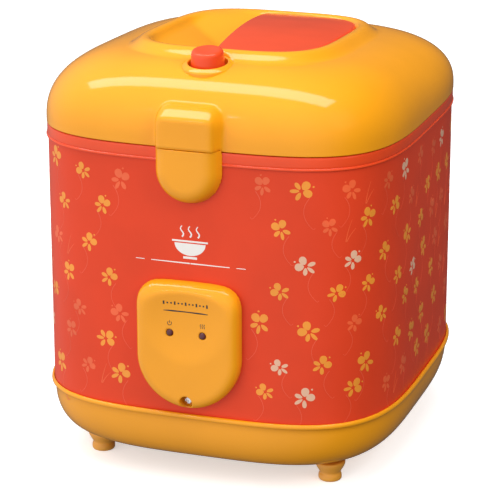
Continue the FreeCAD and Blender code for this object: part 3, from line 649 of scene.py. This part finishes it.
# ---- Body -------------------------------------------------------------------------------------
def build_base():
    lip_x, lip_y = BASE_LIP
    sections = [(104.75, 111.75, PLAN_POWER, 43.1), (104.75, 111.75, PLAN_POWER, 44.5),
                (104.95, 111.98, PLAN_POWER, 45.1), (105.5, 112.55, 3.8, 45.4)]
    for inset, z in ((1.0, 45.38), (0.45, 45.1), (0.1, 44.55), (0.0, 43.9), (0.08, 43.25), (0.4, 42.75),
                     (0.95, 42.5), (1.6, 42.35), (1.8, 42.0)):
        sections.append((lip_x - inset, lip_y - inset, BASE_POWER, z))
    steps = 22
    for step in range(1, steps + 1):
        angle = math.radians(90.0 * step / steps)
        inset = 1.85 + 30.9 * (1 - math.cos(angle) ** (2 / 2.54))
        z = FOOT_HEIGHT + 30.7 * (1 - math.sin(angle) ** (2 / 2.54))
        sections.append((lip_x - inset, lip_y - inset, BASE_POWER, z))
    sections += [(43.0, 47.0, 8.0, FOOT_HEIGHT), (42.2, 46.2, 8.0, 12.2), (42.2, 46.2, 8.0, 14.2),
                 (70.0, 77.0, 4.5, 14.2), (84.0, 91.0, BASE_POWER, 18.0), (96.0, 103.0, BASE_POWER, 27.0),
                 (101.5, 108.5, BASE_POWER, 37.0), (102.2, 109.2, PLAN_POWER, 42.9)]
    return lofted("base_shell_finished", sections)


def build_casing():
    levels = np.linspace(CASING_HEIGHTS[0], CASING_HEIGHTS[1], 15)
    sections = [(CASING[0], CASING[1], PLAN_POWER, z) for z in levels]
    sections += [(CASING[0] - CASING_WALL, CASING[1] - CASING_WALL, PLAN_POWER, z) for z in levels[::-1]]
    casing = lofted("outer_casing_finished", sections, 512)
    return crisp(cut_away(casing, [brick("cut", INLET_OPENING[0], INLET_OPENING[1], 0)]))


def build_collar():
    bead = [(0.1, 190.6), (0.42, 190.75), (0.55, 191.2), (0.42, 191.65), (0.05, 191.85), (-0.12, 192.1),
            (0.05, 192.4), (0.1, 193.2), (0.1, 196.9), (0.0, 197.6), (-0.35, 198.05), (-0.9, 198.2)]
    sections = [(105.0 + grow, 112.0 + grow, PLAN_POWER, z) for grow, z in bead]
    sections += [(101.9, 108.9, PLAN_POWER, 198.2), (101.5, 108.5, PLAN_POWER, 197.9),
                 (101.5, 108.5, PLAN_POWER, 195.9), (101.1, 108.1, PLAN_POWER, 195.5),
                 (92.0, 94.0, 2.6, 195.5), (83.4, 83.4, 2.0, 195.5), (83.0, 83.0, 2.0, 195.2),
                 (83.0, 83.0, 2.0, 192.6), (98.0, 105.0, PLAN_POWER, 192.6),
                 (100.4, 107.4, PLAN_POWER, 182.2), (102.8, 109.8, PLAN_POWER, 182.2),
                 (102.8, 109.8, PLAN_POWER, 190.6)]
    collar = lofted("top_collar_finished", sections)
    barrel = rod("barrel", (-29.0, HINGE[0], HINGE[1]), (29.0, HINGE[0], HINGE[1]), HINGE_BARREL)
    slot = brick("slot", (-8.2, -120, 190.9), (8.2, -104, 192.7), 0)
    return crisp(cut_away(collar, [barrel, slot]))


def build_foot(name, x, y):
    profile = [(0, 0), (5.4, 0.0), (6.2, 0.35), (6.65, 1.1), (6.7, 2.2), (6.6, 3.4), (6.2, 4.1),
               (5.95, 4.6), (6.1, 5.2), (6.7, 6.2), (7.6, 7.7), (8.3, 9.1), (8.65, 10.2), (8.7, 11.0),
               (8.4, 11.5), (7.8, FOOT_HEIGHT), (0, FOOT_HEIGHT)]
    return turned(name + "_finished", profile, 64, Matrix.Translation((x, y, 0)))


def build_button():
    """Stem, flange under the lid, slightly tapered cap with a shallow hollow on top."""
    profile = [(0, -27.9), (3.2, -27.9), (3.5, -27.6), (3.5, -8.6), (12.6, -8.6), (12.8, -8.3),
               (12.8, -6.2), (12.6, -6.0), (9.7, -6.0), (9.5, -1.0), (9.3, 2.0), (8.95, 5.7), (8.7, 6.7),
               (8.1, 7.5), (7.1, 7.9), (5.8, 7.8), (3.2, 7.5), (1.4, 7.4), (0, 7.38)]
    return crisp(turned("release_button_finished", profile, 96, placed(BUTTON, BUTTON_OUT)), 50)


def build_bezel():
    """Raised ring round the release button, let into the lid."""
    profile = [(BUTTON_HOLE, -BEZEL_DEPTH), (14.4, -BEZEL_DEPTH), (14.4, -1.5), (14.35, -1.1),
               (14.15, -0.7), (13.85, -0.42), (11.9, 0.78), (11.6, 0.9), (11.3, 0.88), (11.05, 0.7),
               (10.93, 0.45), (BUTTON_HOLE, 0.1)]
    return crisp(turned_ring("button_bezel_finished", profile, 120, placed(BUTTON, BUTTON_OUT)), 50)


def build_lens(name, side):
    profile = [(0, -4.0), (2.0, -4.0), (2.0, -0.7), (1.85, -0.2), (1.45, 0.15), (0.8, 0.33), (0, 0.4)]
    return turned(name + "_finished", profile, 48, placed((side * LAMP[0], -119.6, LAMP[1]), (0, -1, 0)))


def build_bar():
    """Thin bar across the panel, tapered to both ends and slightly crowned."""
    points = []
    faces = []
    count = 32
    for i in range(count + 1):
        t = -1 + 2 * i / count
        x = BAR_HALF * t
        half = 0.18 + 0.67 * (1 - abs(t) ** 2.4)
        front = -118.9 - 0.9 * t * t
        for k in range(8):
            angle = 2 * math.pi * k / 8
            points.append((x, front + 0.35 - 0.45 * math.cos(angle), BAR_Z + half * math.sin(angle)))
    for i in range(count):
        for k in range(8):
            j = (k + 1) % 8
            a = i * 8
            faces.append((a + k, a + j, a + 8 + j, a + 8 + k))
    faces.append(tuple(range(8)))
    faces.append(tuple(range(count * 8, count * 8 + 8)))
    return mesh_object("panel_bar_finished", points, faces)


def build_screw(name, origin, out, radius, height, length):
    """Pan head with a cross recess and a plain shank."""
    place = placed(origin, out)
    profile = rounded([(0, -length), (radius * 0.5, -length), (radius * 0.5, 0), (radius, 0),
                       (radius, height * 0.55), (radius * 0.6, height), (0, height * 1.05)], 0.5)
    screw = turned(name, profile, 64, place)
    tools = []
    for turn in (0.0, 90.0):
        tool = brick("cross", (-0.2 * radius, -0.66 * radius, height * 0.35),
                     (0.2 * radius, 0.66 * radius, height + 2), 0)
        spin = Matrix.Rotation(math.radians(turn), 4, "Z")
        shift = place.copy()
        shift.translation *= MM
        tool.data.transform(shift @ spin)
        tools.append(tool)
    return crisp(cut_away(screw, tools))


# ---- Printed decoration -----------------------------------------------------------------------
def stroke_sides(path, wide, narrow):
    """Left and right edge of a line through path whose width runs from wide to narrow."""
    sides = []
    for i, (u, v) in enumerate(path):
        before = path[max(i - 1, 0)]
        after = path[min(i + 1, len(path) - 1)]
        du = after[0] - before[0]
        dv = after[1] - before[1]
        size = math.hypot(du, dv) or 1
        half = 0.5 * (wide + (narrow - wide) * i / (len(path) - 1))
        over = -dv / size * half
        up = du / size * half
        sides.append(((u + over, v + up), (u - over, v - up)))
    return sides


def stroke_faces(base, count):
    """Closed slab over count cross-sections of four points each, the first point being base."""
    faces = []
    for i in range(count - 1):
        a = base + 4 * i
        b = a + 4
        faces += [(a, a + 1, b + 1, b), (a + 2, b + 2, b + 3, a + 3), (a, b, b + 2, a + 2),
                  (a + 1, a + 3, b + 3, b + 1)]
    last = base + 4 * (count - 1)
    faces += [(base, base + 2, base + 3, base + 1), (last, last + 1, last + 3, last + 2)]
    return faces


class Wrap:
    """Maps a length round the casing and a height onto its surface."""

    def __init__(self):
        count = 4096
        self.x, self.y = outline(CASING[0], CASING[1], PLAN_POWER, count)
        self.x = np.append(self.x, self.x[0])
        self.y = np.append(self.y, self.y[0])
        steps = np.hypot(np.diff(self.x), np.diff(self.y))
        self.along = np.concatenate([[0], np.cumsum(steps)])
        self.length = self.along[-1]
        self.front = self.along[int(np.argmin(self.y + np.abs(self.x) * 0.01))]

    def point(self, u, v, lift):
        """u runs to the right seen from outside, from the middle of the front."""
        at = (self.front + u) % self.length
        x = float(np.interp(at, self.along, self.x))
        y = float(np.interp(at, self.along, self.y))
        nx = abs(x / CASING[0]) ** (PLAN_POWER - 1) / CASING[0] * math.copysign(1, x)
        ny = abs(y / CASING[1]) ** (PLAN_POWER - 1) / CASING[1] * math.copysign(1, y)
        size = math.hypot(nx, ny)
        return (x + nx / size * lift, y + ny / size * lift, v)


class Print:
    """Thin closed slabs of ink, gathered by colour."""

    def __init__(self, wrap):
        self.wrap = wrap
        self.points = []
        self.faces = []

    def patch(self, ring, centre):
        base = len(self.points)
        count = len(ring)
        for lift in (0.06, -0.04):
            for u, v in ring:
                self.points.append(self.wrap.point(u, v, lift))
            self.points.append(self.wrap.point(centre[0], centre[1], lift))
        for i in range(count):
            j = (i + 1) % count
            self.faces.append((base + i, base + j, base + count))
            self.faces.append((base + count + 1 + j, base + count + 1 + i, base + 2 * count + 1))
            self.faces.append((base + j, base + i, base + count + 1 + i, base + count + 1 + j))

    def petal(self, start, angle, length, width, blunt=0.62):
        """Rounded petal that widens away from start."""
        count = 14
        ring = []
        c = math.cos(angle)
        s = math.sin(angle)
        for i in range(count):
            t = 2 * math.pi * i / count
            a = length * 0.5 * (1 - math.cos(t))
            swell = (a / length) ** (blunt * 0.6)
            b = width * 0.5 * math.sin(t) * (0.55 + 0.45 * swell) * 1.12
            ring.append((start[0] + a * c - b * s, start[1] + a * s + b * c))
        centre = (start[0] + length * 0.55 * c, start[1] + length * 0.55 * s)
        self.patch(ring, centre)

    def stroke(self, path, wide, narrow):
        """Tapered line through path, as one thin closed slab."""
        sides = stroke_sides(path, wide, narrow)
        self.faces += stroke_faces(len(self.points), len(sides))
        for left, right in sides:
            for lift in (0.055, -0.04):
                self.points.append(self.wrap.point(left[0], left[1], lift))
                self.points.append(self.wrap.point(right[0], right[1], lift))

    def done(self, name):
        return mesh_object(name, self.points, self.faces, smooth=False)


def curve(start, control, end, count=9):
    path = []
    for i in range(count):
        t = i / (count - 1)
        path.append(tuple((1 - t) ** 2 * a + 2 * t * (1 - t) * b + t * t * c
                          for a, b, c in zip(start, control, end)))
    return path


def floret(ink, stem_ink, u, v, size, turn, hand):
    """Two round petals above, three narrow ones below, a stem that curls away."""
    for tilt, length, width in ((48, 0.50, 0.42), (120, 0.52, 0.44), (196, 0.44, 0.24), (252, 0.50, 0.20),
                                (312, 0.46, 0.24)):
        angle = math.radians(tilt) + turn
        start = (u + 0.10 * size * math.cos(angle), v + 0.10 * size * math.sin(angle))
        ink.petal(start, angle, length * size, width * size)
    dot = (u + 0.66 * size * math.cos(turn + 1.57), v + 0.66 * size * math.sin(turn + 1.57))
    ink.petal((dot[0] - 0.05 * size, dot[1]), 0.0, 0.11 * size, 0.10 * size)
    neck = (u + hand * size * 0.45, v - size * 0.35)
    bend = (u - hand * size * 0.25, v - size * 1.2)
    foot = (u + hand * size * 0.55, v - size * 2.0)
    hook = (foot[0] + hand * 1.1, foot[1] - 1.4)
    tip = (foot[0] + hand * 1.9, foot[1] + 0.2)
    stem_ink.stroke(curve(neck, bend, foot), 0.34, 0.22)
    stem_ink.stroke(curve(foot, hook, tip, 6), 0.24, 0.18)


def print_is_clear(u, v, back):
    """Leaves the casing's edges and all that stands on it free; back is the distance from the back's middle."""
    edges = v > 184 or v < 56
    panel = abs(u) < 37 and v < 131
    latch = abs(u) < 24 and v > 158
    emblem = abs(u) < 43 and 126 < v < 166
    hinge = back < 34 and v > 158
    inlet = back < 28 and 52 < v < 98
    return not (edges or panel or latch or emblem or hinge or inlet)


def build_print():
    wrap = Wrap()
    rng = random.Random(20)
    inks = {name: Print(wrap) for name in ("amber", "cream", "coral", "stem")}
    columns = 29
    rows = 7
    lowest = 62
    row_height = 19.6
    spacing = wrap.length / columns
    for column in range(columns):
        for row in range(rows):
            u = (column + 0.5 * (row % 2)) * spacing - wrap.length / 2 + rng.uniform(-4, 4)
            v = lowest + row * row_height + rng.uniform(-3.5, 3.5)
            kind = rng.random()
            size = rng.uniform(8.4, 10.6)
            turn = math.radians(rng.uniform(-75, 75))
            hand = rng.choice((-1, 1))
            back = abs(abs(u) - wrap.length / 2)
            if not print_is_clear(u, v, back):
                continue
            name = "amber" if kind < 0.60 else "cream" if kind < 0.72 else "coral"
            floret(inks[name], inks["stem"], u, v, size, turn, hand)
            if kind > 0.86:
                inks["coral"].stroke(curve((u + 9, v - 9), (u + 10, v - 3), (u + 12.5, v + 3)), 0.5, 0.15)
                inks["coral"].stroke(curve((u + 9.6, v - 9), (u + 11.5, v - 5), (u + 15, v - 2)), 0.5, 0.15)
    return {name: ink.done("casing_print_" + name) for name, ink in inks.items()}, wrap


def build_emblem(wrap):
    """Plain pictogram of a steaming bowl over a fine rule."""
    ink = Print(wrap)
    z = EMBLEM_Z
    bowl = []
    for i in range(25):
        angle = math.pi + math.pi * i / 24
        bowl.append((9.0 * math.cos(angle), z + 7.0 * math.sin(angle)))
    ink.patch(bowl, (0.0, z - 2.4))
    ink.stroke([(-10.4, z + 1.2), (0, z + 1.2), (10.4, z + 1.2)], 1.0, 1.0)
    ink.stroke([(-4.0, z - 8.2), (0, z - 8.2), (4.0, z - 8.2)], 1.3, 1.3)
    for u in (-4.6, 0.0, 4.6):
        wave = [(u + 0.9 * math.sin(k * 0.9), z + 3.6 + k * 0.9) for k in range(8)]
        ink.stroke(wave, 0.95, 0.5)
    for side in (-1, 1):
        ink.stroke([(side * 0.2, z - 11.4), (side * 16.0, z - 11.4), (side * 32.0, z - 11.4)], 0.7, 0.35)
    return ink.done("casing_emblem")


def panel_mark(name, strokes):
    """Small printed mark on the panel's dish: strokes are (path, width)."""
    points = []
    faces = []

    def surface(x, z, lift):
        gap = PANEL_DISH_RADIUS ** 2 - x ** 2 - (z - PANEL_DISH_Z) ** 2
        return (x, -FRONT_REACH - PANEL_DISH_RADIUS + PANEL_DISH_DEPTH + math.sqrt(gap) - lift, z)

    for path, width in strokes:
        sides = stroke_sides(path, width, width)
        faces += stroke_faces(len(points), len(sides))
        for left, right in sides:
            for lift in (0.05, -0.05):
                points.append(surface(left[0], left[1], lift))
                points.append(surface(right[0], right[1], lift))
    return mesh_object(name, points, faces, smooth=False)


def build_panel_marks():
    """A power symbol and a keep-warm symbol over the lamps, and a row of dots and ticks above the bar."""
    strokes = []
    x = -LAMP[0]
    z = LAMP_MARK_Z
    arc = [(x + 1.15 * math.sin(math.radians(a)), z + 1.15 * math.cos(math.radians(a)))
           for a in range(40, 321, 28)]
    strokes.append((arc, 0.36))
    strokes.append(([(x, z + 0.2), (x, z + 0.9), (x, z + 1.6)], 0.36))
    x = LAMP[0]
    for shift in (-1.1, 0.0, 1.1):
        wave = [(x + shift + 0.3 * math.sin(k * 1.25), z - 1.2 + 0.42 * k) for k in range(7)]
        strokes.append((wave, 0.34))
    for k in range(-6, 7):
        x = k * 2.1
        if k % 3:
            strokes.append(([(x - 0.45, TICKS_Z), (x, TICKS_Z), (x + 0.45, TICKS_Z)], 0.9))
        else:
            strokes.append(([(x, TICKS_Z - 1.0), (x, TICKS_Z), (x, TICKS_Z + 1.0)], 0.9))
    return panel_mark("panel_marks", strokes)


# ---- Materials --------------------------------------------------------------------------------
def link(tree, a, b):
    tree.links.new(a, b)


def material(name, colour, shade=0.06, rough=0.3, rough_spread=0.05, metal=0.0, coat=0.0, grain=900.0,
             bump=0.02, clouds=25.0, specular=0.5, stretch=(1, 1, 1)):
    """Moulded plastic, metal or ink: colour drifts a little, roughness and fine bump follow a noise."""
    mat = bpy.data.materials.new(name)
    mat.use_nodes = True
    tree = mat.node_tree
    nodes = tree.nodes
    shader = nodes["Principled BSDF"]
    place = nodes.new("ShaderNodeTexCoord")
    scale = nodes.new("ShaderNodeMapping")
    scale.inputs["Scale"].default_value = stretch
    link(tree, place.outputs["Object"], scale.inputs["Vector"])
    drift = nodes.new("ShaderNodeTexNoise")
    drift.inputs["Scale"].default_value = clouds
    drift.inputs["Detail"].default_value = 3.0
    link(tree, scale.outputs["Vector"], drift.inputs["Vector"])
    ramp = nodes.new("ShaderNodeValToRGB")
    dark = [c * (1 - shade) for c in colour]
    light = [min(1.0, c * (1 + shade)) for c in colour]
    ramp.color_ramp.elements[0].position = 0.32
    ramp.color_ramp.elements[0].color = (*dark, 1)
    ramp.color_ramp.elements[1].position = 0.68
    ramp.color_ramp.elements[1].color = (*light, 1)
    link(tree, drift.outputs["Fac"], ramp.inputs["Fac"])
    link(tree, ramp.outputs["Color"], shader.inputs["Base Color"])
    fine = nodes.new("ShaderNodeTexNoise")
    fine.inputs["Scale"].default_value = grain
    fine.inputs["Detail"].default_value = 2.0
    link(tree, scale.outputs["Vector"], fine.inputs["Vector"])
    spread = nodes.new("ShaderNodeMapRange")
    spread.inputs["To Min"].default_value = max(rough - rough_spread, 0.02)
    spread.inputs["To Max"].default_value = min(rough + rough_spread, 1.0)
    link(tree, drift.outputs["Fac"], spread.inputs["Value"])
    link(tree, spread.outputs["Result"], shader.inputs["Roughness"])
    relief = nodes.new("ShaderNodeBump")
    relief.inputs["Strength"].default_value = bump
    relief.inputs["Distance"].default_value = 0.0004
    link(tree, fine.outputs["Fac"], relief.inputs["Height"])
    link(tree, relief.outputs["Normal"], shader.inputs["Normal"])
    shader.inputs["Metallic"].default_value = metal
    shader.inputs["Coat Weight"].default_value = coat
    shader.inputs["Coat Roughness"].default_value = 0.06
    shader.inputs["Specular IOR Level"].default_value = specular
    return mat


YELLOW = (0.93, 0.362, 0.008)
RED = (0.85, 0.072, 0.014)
FINISHES = {
    "yellow_plastic": dict(colour=YELLOW, shade=0.03, rough=0.10, rough_spread=0.02, bump=0.010),
    "red_plastic": dict(colour=RED, shade=0.04, rough=0.2, rough_spread=0.04, bump=0.015),
    "printed_casing": dict(colour=(0.78, 0.060, 0.018), shade=0.05, rough=0.34, rough_spread=0.04,
                           bump=0.02, specular=0.25),
    "foot_plastic": dict(colour=(0.84, 0.36, 0.04), shade=0.05, rough=0.3, bump=0.02),
    "steel_plate": dict(colour=(0.55, 0.56, 0.57), rough=0.38, metal=1.0, grain=600, bump=0.05,
                        stretch=(1, 12, 1)),
    "screw_steel": dict(colour=(0.60, 0.60, 0.58), rough=0.3, metal=1.0, bump=0.03),
    "chrome": dict(colour=(0.82, 0.82, 0.83), rough=0.12, rough_spread=0.04, metal=1.0, bump=0.01),
    "spring_steel": dict(colour=(0.42, 0.42, 0.44), rough=0.3, metal=1.0, bump=0.03),
    "aluminium_sheet": dict(colour=(0.75, 0.76, 0.77), rough=0.34, metal=1.0, bump=0.04,
                            stretch=(1, 1, 10)),
    "cast_aluminium": dict(colour=(0.56, 0.57, 0.58), shade=0.12, rough=0.52, rough_spread=0.1, metal=1.0,
                           grain=500, bump=0.2),
    "element_sheath": dict(colour=(0.22, 0.20, 0.19), shade=0.2, rough=0.5, metal=1.0, bump=0.1),
    "heater_foil": dict(colour=(0.62, 0.60, 0.55), rough=0.4, metal=1.0, bump=0.12),
    "fuse_sleeve": dict(colour=(0.80, 0.78, 0.70), rough=0.7, bump=0.25),
    "pot_coating": dict(colour=(0.075, 0.078, 0.085), shade=0.25, rough=0.42, grain=1800, bump=0.12,
                        clouds=160),
    "black_plastic": dict(colour=(0.022, 0.020, 0.020), shade=0.2, rough=0.34, bump=0.05),
    "circuit_board": dict(colour=(0.03, 0.22, 0.09), shade=0.2, rough=0.5, bump=0.1),
    "pin_brass": dict(colour=(0.78, 0.60, 0.28), rough=0.28, metal=1.0, bump=0.03),
    "lead_sleeve": dict(colour=(0.82, 0.80, 0.74), rough=0.5, bump=0.05),
    "inner_cover_plastic": dict(colour=(0.83, 0.80, 0.72), shade=0.04, rough=0.38, bump=0.05),
    "silicone": dict(colour=(0.78, 0.77, 0.73), rough=0.6, bump=0.08),
    "latch_plastic": dict(colour=(0.80, 0.78, 0.70), rough=0.4, bump=0.05),
    "lamp_lens": dict(colour=(0.10, 0.006, 0.012), shade=0.2, rough=0.1, rough_spread=0.03, coat=0.6,
                      bump=0.01),
}
MATERIALS = {slot: material(slot, **settings) for slot, settings in FINISHES.items()}
INKS = {
    "amber": material("ink_amber", (0.93, 0.33, 0.035), 0.10, 0.3, bump=0.04),
    "cream": material("ink_cream", (0.84, 0.50, 0.33), 0.08, 0.32, bump=0.04),
    "coral": material("ink_coral", (0.88, 0.13, 0.04), 0.12, 0.3, bump=0.04),
    "stem": material("ink_stem", (0.84, 0.11, 0.05), 0.10, 0.3, bump=0.04),
    "white": material("ink_white", (0.88, 0.86, 0.82), 0.04, 0.32, bump=0.04),
    "black": material("ink_black", (0.03, 0.022, 0.02), 0.15, 0.36, bump=0.04),
}

NODE_SLOT = {part["node"]: part["material_slot"] for part in frame["record"]["subparts"]}
for node, obj in frame["nodes"].items():
    slot_material = MATERIALS[NODE_SLOT[node]]
    if not obj.material_slots:
        obj.data.materials.append(slot_material)
    for entry in obj.material_slots:
        entry.material = slot_material


def finish(obj, body, slot, *nodes, mat=None):
    obj.data.materials.clear()
    obj.data.materials.append(mat or MATERIALS[slot])
    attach(obj, body)
    if nodes:
        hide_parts(*nodes)
    return obj


# ---- Assembly ---------------------------------------------------------------------------------
finish(build_lid(), "lid", "yellow_plastic", "lid_shell")
finish(build_grip(), "lid", "red_plastic", "grip_panel")
finish(build_tongue(), "body", "yellow_plastic", "catch_cover")
finish(build_panel(), "body", "yellow_plastic", "control_panel")
finish(build_base(), "body", "yellow_plastic", "base_shell")
finish(build_casing(), "body", "printed_casing", "outer_casing")
finish(build_collar(), "body", "red_plastic", "top_collar")
for foot_name, (foot_x, foot_y) in FOOT_PLACES.items():
    finish(build_foot(foot_name, foot_x, foot_y), "body", "foot_plastic", foot_name)
finish(build_button(), "release_button", "red_plastic", "release_button")
finish(build_bezel(), "lid", "yellow_plastic", "lid_shell")
finish(build_lens("power_lamp_lens", -1), "body", "lamp_lens", "power_lamp_lens")
finish(build_lens("warm_lamp_lens", 1), "body", "lamp_lens", "warm_lamp_lens")
finish(build_bar(), "body", "black_plastic", "panel_bar")
panel_screw = build_screw("panel_screw_finished", (0, PANEL_SCREW_SEAT, PANEL_SCREW_Z), (0, -1, 0),
                          radius=3.0, height=1.7, length=11.0)
finish(panel_screw, "body", "chrome", "panel_screw")
prints, casing_wrap = build_print()
for ink_name, ink_object in prints.items():
    finish(ink_object, "body", "printed_casing", mat=INKS[ink_name])
finish(build_emblem(casing_wrap), "body", "printed_casing", mat=INKS["white"])
finish(build_panel_marks(), "body", "black_plastic", mat=INKS["black"])


# ---- Floor, light and camera ------------------------------------------------------------------
def build_floor():
    half = 6000
    corners = [(-half, -half, 0), (half, -half, 0), (half, half, 0), (-half, half, 0)]
    floor = mesh_object("floor", corners, [(0, 1, 2, 3)], smooth=False)
    paper = material("floor_paper", (0.93, 0.93, 0.93), 0.01, 0.9, bump=0.0, specular=0.1)
    shader = paper.node_tree.nodes["Principled BSDF"]
    shader.inputs["Emission Color"].default_value = (1, 1, 1, 1)
    shader.inputs["Emission Strength"].default_value = 0.5
    floor.data.materials.append(paper)
    floor.visible_diffuse = False
    floor.visible_glossy = False


def area_light(name, centre, target, size_x, size_y, radiance):
    data = bpy.data.lights.new(name, "AREA")
    data.shape = "RECTANGLE"
    data.size = size_x
    data.size_y = size_y
    data.energy = radiance * math.pi * size_x * size_y
    lamp = bpy.data.objects.new(name, data)
    bpy.context.scene.collection.objects.link(lamp)
    lamp.location = centre
    lamp.rotation_euler = (Vector(target) - Vector(centre)).to_track_quat("-Z", "Y").to_euler()
    return lamp


def build_lights():
    """The strip makes the long highlight on the lid, the fills are not mirrored in the plastic."""
    area_light("overhead_strip", (-0.31, -0.115, 1.23), (-0.31, -0.115, 0), 1.62, 0.39, 4.5)
    area_light("front_left_fill", (-1.5, -2.4, 0.8), (0, 0, 0.12), 2.0, 1.6, 1.45).visible_glossy = False
    area_light("right_fill", (1.9, -0.8, 1.7), (0, 0, 0.15), 1.6, 1.6, 3.9).visible_glossy = False
    area_light("front_small", (-0.55, -1.50, 1.0), (0, -0.1, 0.2), 0.16, 0.05, 16.0)


def build_world():
    """White to the camera; for everything else brighter from the front left and above."""
    world = bpy.data.worlds.new("studio")
    bpy.context.scene.world = world
    world.use_nodes = True
    tree = world.node_tree
    nodes = tree.nodes
    nodes.clear()
    out = nodes.new("ShaderNodeOutputWorld")
    seen = nodes.new("ShaderNodeBackground")
    seen.inputs["Color"].default_value = (1, 1, 1, 1)
    seen.inputs["Strength"].default_value = 1.1
    fill = nodes.new("ShaderNodeBackground")
    fill.inputs["Color"].default_value = (1.0, 1.0, 1.0, 1)
    place = nodes.new("ShaderNodeTexCoord")
    towards = nodes.new("ShaderNodeVectorMath")
    towards.operation = "DOT_PRODUCT"
    towards.inputs[1].default_value = Vector((-0.62, -0.66, 0.42)).normalized()
    link(tree, place.outputs["Generated"], towards.inputs[0])
    level = nodes.new("ShaderNodeMapRange")
    level.interpolation_type = "SMOOTHSTEP"
    level.inputs["From Min"].default_value = -0.6
    level.inputs["From Max"].default_value = 1.0
    level.inputs["To Min"].default_value = 0.09
    level.inputs["To Max"].default_value = 1.0
    link(tree, towards.outputs["Value"], level.inputs["Value"])
    link(tree, level.outputs["Result"], fill.inputs["Strength"])
    path = nodes.new("ShaderNodeLightPath")
    mix = nodes.new("ShaderNodeMixShader")
    link(tree, path.outputs["Is Camera Ray"], mix.inputs["Fac"])
    link(tree, fill.outputs["Background"], mix.inputs[1])
    link(tree, seen.outputs["Background"], mix.inputs[2])
    link(tree, mix.outputs["Shader"], out.inputs["Surface"])


def build_camera():
    data = bpy.data.cameras.new("camera")
    data.sensor_width = 36.0
    data.lens = 167.56
    data.shift_x = -0.0197
    data.shift_y = -0.0349
    data.clip_end = 50.0
    camera = bpy.data.objects.new("camera", data)
    bpy.context.scene.collection.objects.link(camera)
    camera.location = (0.41460, -1.22453, 0.52968)
    aim = Vector((0, 0, 0.12)) - camera.location
    camera.rotation_euler = aim.to_track_quat("-Z", "Y").to_euler()
    bpy.context.scene.camera = camera


build_floor()
build_lights()
build_world()
build_camera()
bpy.context.scene.view_settings.view_transform = "Standard"
